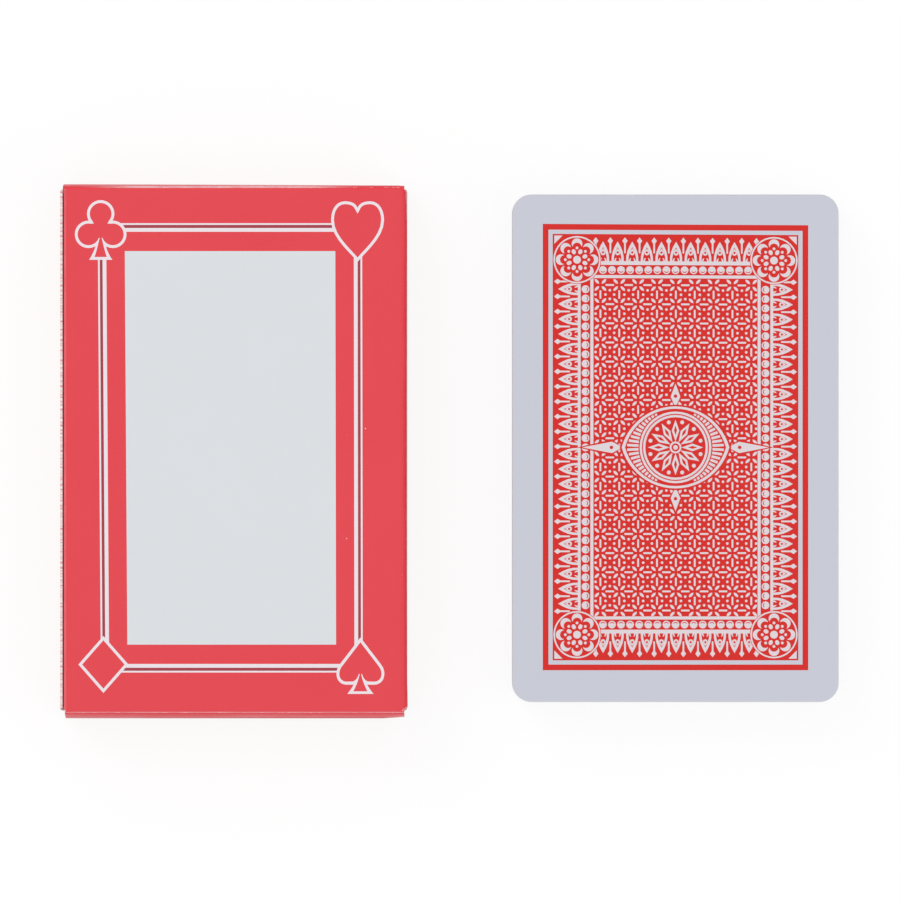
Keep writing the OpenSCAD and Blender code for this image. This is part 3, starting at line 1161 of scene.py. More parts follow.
@dataclass(frozen=True)
class BoardFinish:
    """Printed folding board of the carton."""

    red: Colour = (0.67, 0.027, 0.042)  # The red print
    deep_red: Colour = (0.30, 0.012, 0.030)  # The print between the two lines of the frame
    line: Colour = (0.74, 0.67, 0.71)  # The pale lines and suits
    bare: Colour = (0.622, 0.647, 0.671)  # Coated board with no print on it
    inside: Colour = (0.60, 0.585, 0.55)  # The board's uncoated side
    core: Colour = (0.88, 0.80, 0.84)  # The board that shows where the print is gone, and the pale pink of the painted highlights on folds and creases
    cut: Colour = (0.88, 0.74, 0.73)  # The board's cut edge, pink partly from red it has taken on and partly as painted reflection of the red print beside it
    pressed_red: Colour = (0.84, 0.006, 0.026)  # Painted light and shade: a brighter, deeper red on folds, creases and the lids' slanting faces
    haze: float = 0.008  # How much paler and deeper the coating's patches are
    gloss: float = 0.42  # Roughness of the coated side
    worn_rough: float = 0.4  # How much rougher it is where the print is gone or where the painted light and shade of folds lie
    clouds: float = 0.045  # The coating's patches to the millimetre
    grain: float = 5.0  # Its grains to the millimetre
    waves: float = 0.22  # The board's slow waves to the millimetre
    specks: float = 0.3  # Places to the millimetre where a speck of print may be missing
    flakes: float = 1.6  # Ragged edges to the millimetre where print flakes off
    speck_r: float = 0.045  # Radius of the largest speck, as a share of the step between specks

    def place(self, finish: Finish) -> Socket:
        """Where a point lies on the flat blank, in millimetres."""
        node = finish.tree.nodes.new("ShaderNodeUVMap")
        node.uv_map = BLANK_MAP
        return node.outputs[0]

    def coated(self, name: str, colour: Colour, worn: bool) -> Material:
        """Makes a print on the coated side.

        Args:
            name: Name of the material.
            colour: Colour of the print.
            worn: Whether specks and worn creases show the board through it, with painted highlights and a
                deeper painted shade of red on folds and creases.

        Returns:
            The material.
        """
        finish = Finish(name, colour, self.gloss)
        place = self.place(finish)
        cloud = finish.noise(place, self.clouds, 4.0)
        grain = finish.noise(place, self.grain, 2.0)
        light = tuple(c + self.haze for c in colour)
        dark = tuple(max(0.0, c - self.haze) for c in colour)
        tone = finish.mix(finish.span(cloud, 0.3, 0.7, 0.0, 1.0), dark, light)
        tone = finish.mix(finish.span(grain, 0.35, 0.65, 0.0, 0.35), tone, light)
        roughness = finish.span(cloud, 0.25, 0.75, self.gloss - 0.06, self.gloss + 0.08)
        if worn:
            # Above zero the share bares the board, partly as a painted highlight; below zero it paints a
            # brighter, deeper red as light and shade on folds and creases
            rub = self.share(finish, RUB_AND_LIGHT)
            painted_fold_light = finish.span(rub, -1.0, 0.0, 1.0, 0.0)
            bared = self.bared(finish, place, rub)
            tone = finish.mix(bared, finish.mix(painted_fold_light, tone, self.pressed_red), self.core)
            rough = finish.maths("MULTIPLY", finish.maths("MAXIMUM", bared, painted_fold_light), self.worn_rough)
            roughness = finish.maths("ADD", roughness, rough)
        finish.feed("Base Color", tone)
        finish.feed("Roughness", roughness)
        finish.set("Specular IOR Level", 0.4)
        waves = finish.maths("MULTIPLY", finish.noise(place, self.waves, 2.0), 6.0)
        finish.bump(finish.maths("ADD", waves, grain), 0.5, 0.006)
        return finish.material

    def share(self, finish: Finish, name: str) -> Socket:
        """A share that the piece holds at each of its points."""
        node = finish.tree.nodes.new("ShaderNodeAttribute")
        node.attribute_name = name
        return node.outputs["Fac"]

    def bared(self, finish: Finish, place: Socket, rub: Socket) -> Socket:
        """Share of the print that is missing: specks, flakes along worn creases, and what is rubbed off,
        where the rub share also paints highlights.

        Args:
            finish: The material that is being made.
            place: Where a point lies on the blank.
            rub: How far the print is rubbed off there, partly as a painted highlight.

        Returns:
            The share's socket.
        """
        cells = finish.add("ShaderNodeTexVoronoi", Vector=place, Scale=self.specks)
        chance = finish.add("ShaderNodeSeparateColor", Color=cells.outputs["Color"])
        size = finish.span(chance.outputs[0], 0.72, 1.0, 0.0, self.speck_r)
        speck = finish.maths("MULTIPLY", finish.maths("LESS_THAN", cells.outputs["Distance"], size), 0.6)
        ragged = finish.maths("ADD", self.share(finish, WEAR), finish.noise(place, self.flakes, 6.0))
        flake = finish.span(ragged, 1.02, 1.16, 0.0, 1.0)
        streaks = finish.add("ShaderNodeMapping", Vector=place, Scale=(1.2, 0.25, 1.0))
        uneven = finish.span(finish.noise(streaks.outputs[0], 1.0), 0.3, 0.7, 0.65, 1.1)
        # Rubbed-off board, with painted highlights along folds and creases
        rubbed = finish.maths("MULTIPLY", finish.maths("MAXIMUM", rub, 0.0), uneven)
        return finish.maths("MAXIMUM", finish.maths("MAXIMUM", speck, flake), rubbed)

    def uncoated(self, name: str, colour: Colour, fibre: float, stain: float) -> Material:
        """Makes plain board, inside or along a cut.

        Args:
            name: Name of the material.
            colour: Colour of the board.
            fibre: Fibres to the millimetre.
            stain: How much red the fibres have taken on, in flecks.

        Returns:
            The material.
        """
        finish = Finish(name, colour, 0.85)
        place = self.place(finish)
        stretch = finish.add("ShaderNodeMapping", Vector=place, Scale=(fibre, fibre * 0.25, fibre))
        fibres = finish.noise(stretch.outputs[0], 1.0, 5.0)
        cloud = finish.noise(place, 0.12, 3.0)
        dark = tuple(c * 0.86 for c in colour)
        light = tuple(min(1.0, c * 1.08) for c in colour)
        tone = finish.mix(finish.span(fibres, 0.3, 0.7, 0.0, 1.0), dark, light)
        tone = finish.mix(finish.span(cloud, 0.3, 0.7, 0.0, 0.4), tone, colour)
        if stain:
            flecks = finish.noise(place, 2.2, 4.0)
            tone = finish.mix(finish.span(flecks, 0.42, 0.68, 0.0, stain), tone, self.red)
        finish.feed("Base Color", tone)
        finish.feed("Roughness", finish.span(fibres, 0.2, 0.8, 0.78, 0.95))
        finish.bump(fibres, 0.6, 0.012)
        return finish.material

    def slots(self) -> list[Material]:
        """Materials in the order of BoardSlot."""
        return [
            self.coated("carton_red_print", self.red, True),
            self.coated("carton_deep_red_print", self.deep_red, False),
            self.coated("carton_bare_coating", self.bare, False),
            self.uncoated("carton_inside_board", self.inside, 1.5, 0.0),
            self.uncoated("carton_cut_edge", self.cut, 5.0, 0.8),
            self.coated("carton_line_print", self.line, False),
        ]


@dataclass(frozen=True)
class CardFinish:
    """Varnished card stock and its inks."""

    stock: Colour = (0.519, 0.533, 0.601)  # The coated white stock
    red: Colour = (0.59, 0.010, 0.006)  # The red ink
    black: Colour = (0.012, 0.012, 0.014)  # The black ink
    edge: Colour = (0.70, 0.70, 0.72)  # The stock's cut edge
    fine: Colour = (0.66, 0.60, 0.63)  # The stock between fine lines of ink
    gloss: float = 0.4  # Roughness of the varnish

    def varnished(self, name: str, colour: Colour, creased: bool) -> Material:
        """Makes varnished stock or ink.

        Args:
            name: Name of the material.
            colour: Its colour.
            creased: Whether the varnish has the faint creases of the pack's top card.

        Returns:
            The material.
        """
        finish = Finish(name, colour, self.gloss)
        place = finish.add("ShaderNodeTexCoord").outputs["Object"]
        grain = finish.noise(place, 2600.0, 2.0)
        waves = finish.maths("MULTIPLY", finish.noise(place, 90.0, 2.0), 5.0)
        height = finish.maths("ADD", waves, grain)
        finish.set("Specular IOR Level", 0.22)
        if creased:
            slant = finish.add("ShaderNodeMapping", Vector=place, Scale=(0.35, 1.0, 1.0),
                               Rotation=(0.0, 0.0, 0.5))
            crease = finish.span(finish.noise(slant.outputs[0], 420.0, 1.0), 0.5, 0.56, 0.0, 1.0)
            spread = finish.span(finish.noise(place, 55.0, 1.0), 0.52, 0.66, 0.0, 4.0)
            height = finish.maths("ADD", height, finish.maths("MULTIPLY", crease, spread))
        finish.bump(height, 0.5, 0.004)
        return finish.material

    def cut(self) -> Material:
        """Makes the card's cut edge, with the fibres of its plies."""
        finish = Finish("card_cut_edge", self.edge, 0.8)
        place = finish.add("ShaderNodeTexCoord").outputs["Object"]
        plies = finish.add("ShaderNodeMapping", Vector=place, Scale=(300.0, 300.0, 9000.0))
        finish.bump(finish.noise(plies.outputs[0], 1.0, 3.0), 0.5, 0.01)
        return finish.material

    def slots(self, creased: bool) -> list[Material]:
        """Materials in the order of CardSlot.

        Args:
            creased: Whether they are the top card's.

        Returns:
            The materials.
        """
        name = "top_card" if creased else "card"
        inks = {CardSlot.STOCK: self.stock, CardSlot.RED: self.red, CardSlot.BLACK: self.black,
                CardSlot.FINE: self.fine}
        found = {slot: self.varnished(f"{name}_{slot.name.lower()}", ink, creased)
                 for slot, ink in inks.items()}
        found[CardSlot.EDGE] = self.cut()
        return [found[slot] for slot in CardSlot]


# Meshes


def mesh_object(name: str, points: Array, faces: Sequence[tuple[Array, Array, bool]],
                materials: Sequence[Material]) -> Object:
    """Makes a mesh object of points and faces.

    Args:
        name: Name of the piece.
        points: Its points in millimetres, one row each.
        faces: Groups of faces: their point numbers, their slots, and whether they are smooth.
        materials: Its materials, slot by slot.

    Returns:
        The object, in the scene.
    """
    mesh = bpy.data.meshes.new(name)
    corners = np.concatenate([group.ravel() for group, _, _ in faces]).astype(np.int32)
    sizes = np.concatenate([np.full(len(group), group.shape[1], np.int32) for group, _, _ in faces])
    slots = np.concatenate([group for _, group, _ in faces]).astype(np.int32)
    smooth = np.concatenate([np.full(len(group), soft) for group, _, soft in faces])
    mesh.vertices.add(len(points))
    mesh.vertices.foreach_set("co", (points * MM).astype(np.float32).ravel())
    mesh.loops.add(len(corners))
    mesh.loops.foreach_set("vertex_index", corners)
    mesh.polygons.add(len(sizes))
    mesh.polygons.foreach_set("loop_start", np.concatenate([[0], np.cumsum(sizes)[:-1]]).astype(np.int32))
    mesh.polygons.foreach_set("material_index", slots)
    mesh.update(calc_edges=True)
    mesh.polygons.foreach_set("use_smooth", smooth)
    mesh.set_sharp_from_angle(angle=math.radians(SHARP_EDGE))
    for material in materials:
        mesh.materials.append(material)
    return link(name, mesh)


def stand_for(piece: Object, slot: str, *nodes: str) -> None:
    """Hides the nodes of the frame that a piece stands for, and reports the piece.

    Args:
        piece: The piece.
        slot: The record's slot that its finish belongs to; not used.
        nodes: The nodes.
    """
    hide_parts(*nodes)
    LOG.info("%s: %d faces, stands for %s", piece.name, len(piece.data.polygons), ", ".join(nodes))


def near(places: Array, middle: float | Array, reach: float) -> Array:
    """A soft bump of height 1 over places near a middle, that has faded at about twice its reach."""
    return np.exp(-(((places - middle) / reach) ** 2))


def ramp(places: Array, start: float, length: float) -> Array:
    """How far along a stretch each place lies, from 0 to 1; a length below zero runs the other way."""
    return np.clip((places - start) / length, 0, 1)


def level(s: Array, t: Array) -> Array:
    """Zero at each point of a blank."""
    return np.zeros(len(s))


def in_mm(place: Iterable[float]) -> Array:
    """A place of the frame, in millimetres."""
    return np.array(list(place)) / MM


def node_box(node: str) -> tuple[Array, Array]:
    """Lowest and highest corner of a node of the frame, in millimetres."""
    low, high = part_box(node)
    return in_mm(low), in_mm(high)


def crease_axis(end: End, piece: str) -> Array:
    """A point on the axis of an end's lid or tuck flap, in millimetres."""
    name = f"box_{end}_{piece}_crease"
    return in_mm(next(joint["pos_m"] for joint in frame["joints"] if joint["name"] == name))


# Carton


@dataclass(frozen=True)
class Run:
    """Flat stretch of a folded sheet."""

    length: float  # Its length


@dataclass(frozen=True)
class Bend:
    """Fold of a sheet, towards its inside."""

    radius: float  # Radius of its outer face
    degrees: float  # How far it turns

    @property
    def length(self) -> float:
        """Length of its outer face."""
        return self.radius * math.radians(self.degrees)


@dataclass
class FoldPath:
    """Outer face of a folded sheet, seen along its folds, with the outside on the right of its way."""

    start: Point  # Where it starts
    heading: float  # Which way it sets off, in degrees from the first axis
    parts: Sequence[Run | Bend]  # Its flat stretches and folds

    def marks(self) -> list[float]:
        """Distances along the outer face at which its parts begin and end."""
        return [0.0, *np.cumsum([part.length for part in self.parts])]

    def place(self, along: Array, depth: Array) -> Array:
        """Finds points of the sheet.

        Args:
            along: Distances along the outer face.
            depth: Depths below the outer face.

        Returns:
            Their places, one row each.
        """
        found = np.zeros((len(along), 2))
        here, way = np.array(self.start), math.radians(self.heading)
        marks = self.marks()
        for k, part in enumerate(self.parts):
            first, last = k == 0, k == len(self.parts) - 1
            mine = ((along >= marks[k]) | first) & ((along < marks[k + 1]) | last)
            s = along[mine] - marks[k]
            ahead = np.array((math.cos(way), math.sin(way)))
            out = np.array((ahead[1], -ahead[0]))
            if isinstance(part, Run):
                found[mine] = here + np.outer(s, ahead) - depth[mine, None] * out
                here = here + part.length * ahead
                continue
            centre = here - part.radius * out
            turn = math.atan2(out[1], out[0]) + s / part.radius
            spoke = np.stack([np.cos(turn), np.sin(turn)], 1)
            found[mine] = centre + (part.radius - depth[mine])[:, None] * spoke
            way += math.radians(part.degrees)
            here = centre + part.radius * np.array((math.sin(way), -math.cos(way)))
        return found


@dataclass
class BoardSheet:
    """A blank of printed board, folded along a path: one closed piece with its print, inside and cut edge."""

    name: str  # Name of the piece
    thick: float  # Thickness of the board
    path: FoldPath  # How it is folded
    cut: Outline  # Outline of the blank: distance along the path, and place along the folds
    to_row: Wave  # Turns a place on the path's plane and a place along the folds into a point of the frame
    plate: PrintPlate = field(default_factory=lambda: PrintPlate(BoardSlot.RED))  # Its print
    wave: Wave = level  # How far it stands off its path at a point of the blank
    worn: Wave = level  # How flaked its print is at a point of the blank, from 0 to 1
    rubbed: Wave = level  # How far its print is rubbed off there, partly as a painted highlight, or below zero how much painted light and shade deepen its red
    joined: Wave = level  # Whether the board goes on in another piece past a point of its rim
    lines: Sequence[float] = ()  # Further distances along the path at which its triangles meet
    scores: Sequence[Line] = ()  # Further lines on the blank that its triangles follow
    spot_step: float = 4.0  # Step of the points that let a flat stretch bow
    bend_steps: int = 8  # How many stretches a fold is cut into

    def fold_lines(self) -> list[Line]:
        """Lines across the blank that let it fold."""
        marks = self.path.marks()
        along = list(self.lines)
        for part, a, b in zip(self.path.parts, marks[:-1], marks[1:], strict=True):
            if isinstance(part, Bend):
                along.extend(np.linspace(a, b, self.bend_steps + 1))
        low, high = min(t for _, t in self.cut), max(t for _, t in self.cut)
        steps = max(1, round((high - low) / self.spot_step))
        across = np.linspace(low - 1.0, high + 1.0, steps + 1)
        return [((s, a), (s, b)) for s in along for a, b in zip(across[:-1], across[1:], strict=True)]

    def spots(self) -> list[Point]:
        """Points on the flat stretches, in staggered rows."""
        found: list[Point] = []
        marks = self.path.marks()
        low, high = min(t for _, t in self.cut), max(t for _, t in self.cut)
        for part, a, b in zip(self.path.parts, marks[:-1], marks[1:], strict=True):
            if isinstance(part, Run) and part.length > 2 * self.spot_step:
                for k, s in enumerate(np.arange(a + self.spot_step, b - self.spot_step / 2, self.spot_step)):
                    shift = self.spot_step * (0.5 if k % 2 else 1.0)
                    found.extend((float(s), float(t)) for t in np.arange(low + shift, high, self.spot_step))
        return found

    def build(self, materials: Sequence[Material]) -> Object:
        """Makes the piece.

        Args:
            materials: The board's materials, in the order of BoardSlot.

        Returns:
            The piece, in the scene.
        """
        pressed = self.plate.press(self.cut, [*self.fold_lines(), *self.scores], self.spots())
        used = np.unique(pressed.triangles)
        number = np.zeros(len(pressed.points), np.int64)
        number[used] = np.arange(len(used))
        triangles, rim, flat = number[pressed.triangles], number[pressed.rim()], pressed.points[used]
        s, t = flat[:, 0], flat[:, 1]
        proud = self.wave(s, t)
        outer = self.to_row(self.path.place(s, -proud), t)
        inner = self.to_row(self.path.place(s, self.thick - proud), t)
        count = len(flat)
        a, b, c = (outer[triangles[:, k]] for k in range(3))
        facing = np.einsum("ij,ij->i", np.cross(b - a, c - a), a - inner[triangles[:, 0]]).sum()
        if facing < 0:
            triangles, rim = triangles[:, ::-1], rim[:, ::-1]
        wall = np.stack([rim[:, 1], rim[:, 0], rim[:, 0] + count, rim[:, 1] + count], 1)
        wall_slots = np.where(self.joined(*flat[rim].mean(1).T), BoardSlot.RED, BoardSlot.RAW_EDGE)
        faces = [(triangles, pressed.slots, True),
                 (triangles[:, ::-1] + count, np.full(len(triangles), BoardSlot.INSIDE), True),
                 (wall, wall_slots, False)]
        piece = mesh_object(self.name, np.concatenate([outer, inner]), faces, materials)
        shares = {WEAR: self.worn(s, t), RUB_AND_LIGHT: self.rubbed(s, t)}
        self.map_blank(piece, np.concatenate([flat, flat]),
                       {name: np.concatenate([share, np.zeros(count)]) for name, share in shares.items()})
        return piece

    def map_blank(self, piece: Object, flat: Array, shares: dict[str, Array]) -> None:
        """Gives a piece the map of its flat blank, and its wear and painted light.

        Args:
            piece: The piece.
            flat: Place of each of its points on the blank.
            shares: What its points hold by name, such as their wear and painted light.
        """
        mesh = piece.data
        corners = np.zeros(len(mesh.loops), np.int32)
        mesh.loops.foreach_get("vertex_index", corners)
        layer = mesh.uv_layers.new(name=BLANK_MAP)
        layer.data.foreach_set("uv", flat[corners].astype(np.float32).ravel())
        for name, share in shares.items():
            mesh.attributes.new(name, "FLOAT", "POINT").data.foreach_set("value", share.astype(np.float32))


@dataclass
class Carton:
    """The tuck carton: its front panel, the rest of its sleeve, its lids, tuck flaps and dust flaps."""

    thick: float = 0.4  # Thickness of the board
    roll_r: float = 0.2  # How far a crease's axis lies below the board's outer face
    fold_r: float = 0.9  # Outer radius of the long folds
    seam_drop: float = 0.3  # How far the left side's raw edge stops below the front
    seam_fold_r: float = 0.42  # Outer radius of the front's fold at the seam
    seam_gap: float = 0.22  # How far the front's fold stands off the left side at the seam
    glue_line: float = 2.0  # How far below the fold the glue flap meets the side
    glue_reach: float = 12.0  # Reach of the glue flap from the front's face
    glue_setback: float = 1.0  # How far the glue flap stops short of the side's ends
    notch_r: float = 9.0  # Radius of the thumb notch
    side_setback: float = 1.0  # How far the sides' ends lie inside the back panel's
    lid_fold_r: float = 0.45  # Outer radius of a lid's crease
    tuck_fold_r: float = 0.6  # Outer radius of a tuck flap's crease
    lid_inset: float = 0.5  # How far a lid's side stops inside the carton's
    lid_corner_r: float = 0.8  # Radius of a lid's free corners
    lid_ear: float = 0.25  # How far a lid's corners reach back past its crease
    bottom_ear: float = 0.5  # How far the bottom lid's right corner does
    bottom_short: float = 0.35  # How far the bottom lid's left side stops inside the top lid's
    top_bow: float = 0.15  # How far the top lid bulges at its left
    top_pull: float = 0.25  # How far the top lid's free edge is pulled in at its right
    bottom_pull: float = 0.25  # How far the bottom lid's right end is drawn in
    bottom_bow: float = 0.15  # How far the bottom lid bends in below its crease, and out again
    tuck_inset: float = 0.85  # How far a tuck flap's side stops inside the lid's
    tuck_reach: float = 13.5  # Reach of a tuck flap from its crease
    tuck_corner_r: float = 7.0  # Radius of a tuck flap's free corners
    tuck_lift: float = 2.0  # How far a tuck flap is folded past square, in degrees
    dust_reach: float = 12.0  # Reach of a dust flap from its crease
    dust_corner_r: float = 1.5  # Radius of a dust flap's free corners
    dust_tapers: Point = (15.0, 29.0)  # Tapers of a dust flap's lower and upper edge, in degrees
    front_sag: float = 0.15  # How far the front panel's middle sinks
    side_hollow: float = 0.1  # How far the right side's middle is drawn in
    corner_pinch: float = 0.3  # How far the right side's upper corner is drawn in
    corner_flare: float = 0.1  # How far its lower corner stands out
    corner_clip: float = 0.35  # How much shorter the right side is at its lower corner
    seam_lean: float = 0.05  # How far the raw edge leans in
    seam_ear: float = 0.35  # How much further the raw edge reaches at the top end
    back_rise: float = 0.15  # How far the back panel's middle rises off the table
    fade_lines: Point = (0.12, 0.3)  # How far inside an end the lines lie over which its wear and painted shade fade

    def __post_init__(self) -> None:
        """Takes the carton's place and size from the frame, and makes the board's materials."""
        low, high = node_box("carton_sleeve")
        self.middle = (low + high) / 2
        self.width, self.length, self.depth = high - low
        self.materials = BoardFinish().slots()
        self.right_x = self.width / 2 - self.fold_r
        self.front_left_x = -self.width / 2 + self.thick + self.seam_gap + self.seam_fold_r
        self.side_end = self.length / 2 - self.side_setback
        self.lid_half_w = self.width / 2 - self.lid_inset
        self.lean = {end: self.lid_lean(end) for end in End}

    def lid_lean(self, end: End) -> float:
        """How far a lid leans out, in degrees, from its two creases."""
        lid, tuck = crease_axis(end, "lid"), crease_axis(end, "tuck")
        return math.degrees(math.atan2(abs(tuck[1] - lid[1]), lid[2] - tuck[2]))

    def set_off(self, radius: float, turn: float) -> float:
        """How far before its crease's axis a fold starts, and how far past it ends."""
        return (radius - self.roll_r) * math.tan(math.radians(turn / 2))

    def front_end(self, end: End) -> float:
        """Where the front panel ends and a lid's fold begins, from the carton's middle."""
        axis = abs(crease_axis(end, "lid")[1] - self.middle[1])
        return axis - self.set_off(self.lid_fold_r, 90 - self.lean[end])

    def across(self, places: Array, along: Array) -> Array:
        """Puts a section of the sleeve, seen along Y, in the frame."""
        return np.stack([self.middle[0] + places[:, 0], self.middle[1] + along, places[:, 1]], 1)

    def build(self) -> None:
        """Builds and dresses every piece of the carton."""
        for piece in (self.front_panel(), self.sleeve()):
            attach(piece, "carton")
            stand_for(piece, "carton_board", "carton_sleeve")
        for end in End:
            self.build_lid(end)
            self.build_tuck(end)
        for side in Side:
            for end in End:
                self.build_dust_flap(side, end)

    def front_panel(self) -> Object:
        """Builds the front panel, its left fold and the glue flap.

        Returns:
            The piece.
        """
        panel_w = self.right_x - self.front_left_x
        path = FoldPath((self.right_x, self.depth), 180.0,
                        (Run(panel_w), Bend(self.seam_fold_r, 90.0), Run(self.glue_reach - self.seam_fold_r)))
        bend_end, last = path.marks()[2:]
        low, high = -self.front_end(End.BOTTOM), self.front_end(End.TOP)
        side, glue = self.side_end, self.side_end - self.glue_setback
        cut = [(0.0, low), (panel_w, low), (bend_end, -side), (bend_end, -glue), (last, -glue),
               (last, glue), (bend_end, glue), (bend_end, side), (panel_w, high), (0.0, high)]
        plate = PrintPlate(BoardSlot.RED)
        plate.lay(FrontPrint().plate(), lambda outline: [(self.right_x - x, y) for x, y in outline])

        def sag(s: Array, t: Array) -> Array:
            """Sinks the panel's middle, and glues the flap to the side."""
            across, along = ramp(s, 0.0, panel_w), ramp(t, low, high - low)
            glued = ramp(s, bend_end, self.glue_line)
            sunk = (np.sin(math.pi * across) * np.sin(math.pi * along)) ** 2
            return self.seam_gap * glued - self.front_sag * sunk

        def worn(s: Array, t: Array) -> Array:
            """Flakes the panel's corners."""
            flaked, reach = 0.5, 0.7
            to_end = np.minimum(t - low, high - t)
            to_side = np.minimum(np.abs(s), np.abs(panel_w - s))
            return flaked * np.exp(-np.hypot(to_end, to_side) / reach)

        def rubbed(s: Array, t: Array) -> Array:
            """Paints a highlight on the fold at the seam as a rub, and a deeper red as painted shade beside
            the top crease and the right fold.
            """
            seam, crease, fold = near(s, panel_w + 0.2, 0.15), near(t, high, 0.1), near(s, 0.0, 0.3)
            # A painted highlight on the seam's fold, and painted shade at the top crease and the right fold
            return 0.16 * seam - 0.45 * crease - 0.3 * fold

        def joined(s: Array, t: Array) -> Array:
            """Joins the panel to the right fold and to the lids."""
            return (s < TOUCH) | ((np.minimum(t - low, high - t) < TOUCH) & (s < panel_w))

        beside = [edge + way * gap for edge, way in ((low, 1), (high, -1)) for gap in self.fade_lines]
        scores = [((0.0, t), (panel_w, t)) for t in beside]
        lines = (0.4, 0.8, panel_w - 0.8, panel_w - 0.4, panel_w - 0.2, bend_end + self.glue_line / 2,
                 bend_end + self.glue_line)
        return BoardSheet("carton_front_panel", self.thick, path, cut, self.across, plate, sag, worn, rubbed,
                          joined, lines, scores).build(self.materials)

    def sleeve(self) -> Object:
        """Builds the left side, back, right side and the folds between them, up to the front's right edge.

        Returns:
            The piece.
        """
        left_h = self.depth - self.seam_drop - self.fold_r
        back_w = 2 * self.right_x
        right_h = self.depth - 2 * self.fold_r
        fold = Bend(self.fold_r, 90.0)
        path = FoldPath((-self.width / 2, self.depth - self.seam_drop), 270.0,
                        (Run(left_h), fold, Run(back_w), fold, Run(right_h), fold))
        _, _, back_from, back_to, right_from, right_to, last = path.marks()
        side, back = self.side_end, self.length / 2
        centre = (back_from + back_to) / 2
        notch = arc((centre, back), self.notch_r, 360, 180, 24)
        low, high = -self.front_end(End.BOTTOM), self.front_end(End.TOP)
        clipped, clip_w, ear_w = self.corner_clip - side, 1.0, 0.7
        cut = [(0.0, -side), (back_from, -side), (back_from, -back), (back_to, -back), (back_to, -side),
               (right_to - clip_w, -side), (right_to, clipped), (last, low), (last, high), (right_to, side),
               (back_to, side), (back_to, back), *notch, (back_from, back), (back_from, side),
               (ear_w, side), (0.0, side + self.seam_ear)]

        def bow(s: Array, t: Array) -> Array:
            """Lifts the back's middle, leans the raw edge in, and draws in the right side."""
            along = np.sin(math.pi * ramp(t, -side, 2 * side))
            under = np.sin(math.pi * ramp(s, back_from, back_to - back_from)) ** 2
            upper = ramp(s, last, right_to - last) * (s > right_from)
            hollow = self.side_hollow * along * ramp(s, right_from, 4.0)
            corner = self.corner_pinch * near(t, side, 2.2) - self.corner_flare * near(t, -side, 4.0)
            pulled = upper * (hollow + corner * ramp(s, right_to - 3.0, 3.0))
            return -self.back_rise * along * under - pulled - self.seam_lean * ramp(s, 3.0, -3.0)

        def worn(s: Array, t: Array) -> Array:
            """Flakes the raw edge and the ends a little."""
            return np.maximum(0.55 * near(s, 0.0, 0.25), 0.35 * near(np.abs(t), side, 0.3))

        def rubbed(s: Array, t: Array) -> Array:
            """Paints a deeper red as painted shade over the front's fold, and rubs the clipped corner and the
            lower folds.
            """
            under = near(s, (back_from + left_h) / 2, 0.45) + near(s, (back_to + right_from) / 2, 0.45)
            corner_end = np.interp(s, (right_to, last), (clipped, low))
            corner = near(t, corner_end, 0.12) * (s >= right_to)
            return np.maximum(0.12 * under - ramp(s, right_to, 0.4), 0.7 * corner)

        scores = [((right_to, clipped + gap), (last, low + gap)) for gap in self.fade_lines]
        return BoardSheet("carton_sleeve_board", self.thick, path, cut, self.across, wave=bow, worn=worn,
                          rubbed=rubbed, joined=lambda s, t: s > last - TOUCH, scores=scores,
                          lines=(0.35, 0.8, right_from + 0.8, right_to - 0.8)).build(self.materials)

    def lid_path(self, end: End) -> tuple[FoldPath, FoldPath]:
        """Works out how a lid and its tuck flap are folded, seen along X, with the end's outside to the left.

        Args:
            end: The carton's top or bottom end.

        Returns:
            The lid's path from the front panel on, and the tuck flap's from the lid on.
        """
        lid, tuck = crease_axis(end, "lid"), crease_axis(end, "tuck")
        turn, tuck_turn = 90 - self.lean[end], 90 + self.lean[end] + self.tuck_lift
        reach = math.hypot(tuck[1] - lid[1], tuck[2] - lid[2])
        past, before = self.set_off(self.lid_fold_r, turn), self.set_off(self.tuck_fold_r, tuck_turn)
        start = (-self.front_end(end), self.depth)
        lid_path = FoldPath(start, 180.0, (Bend(self.lid_fold_r, turn), Run(reach - past - before)))
        joint = lid_path.place(np.array([lid_path.marks()[-1]]), np.zeros(1))[0]
        tuck_path = FoldPath((float(joint[0]), float(joint[1])), 180.0 + turn,
                             (Bend(self.tuck_fold_r, tuck_turn), Run(self.tuck_reach - before)))
        return lid_path, tuck_path

    def at_end(self, end: End) -> Wave:
        """What puts a section of the top or bottom end, seen along X, in the frame."""
        return lambda places, along: np.stack(
            [self.middle[0] + along, self.middle[1] - end.way * places[:, 0], places[:, 1]], 1)

    def build_bending(self, sheet: BoardSheet, node: str) -> None:
        """Builds a piece whose sheet starts with a fold.

        Args:
            sheet: The sheet that it is made of.
            node: The node of the frame that it stands for.
        """
        piece = sheet.build(self.materials)
        ends = np.array(sheet.path.marks()[:2])
        start, end = sheet.to_row(sheet.path.place(ends, np.zeros(2)), np.zeros(2)) * MM
        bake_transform(piece)
        stand_for(piece, "carton_board", node)

    def lid_bow(self, end: End, down: Array, across: Array) -> Array:
        """How far a lid stands off its plane.

        Args:
            end: The carton's top or bottom end.
            down: Share of the way from the lid's crease to the tuck flap's.
            across: Share of the way from the lid's right to its left.

        Returns:
            The distances, outwards.
        """
        if end is End.BOTTOM:
            pulled = self.bottom_pull * down * near(across, 0.0, 0.03)
            return -self.bottom_bow * np.sin(math.tau * down) - pulled
        bulge = self.top_bow * np.sin(math.pi * down) * (0.35 + 0.65 * across**2)
        return bulge - self.top_pull * down * (1 - across) ** 1.5

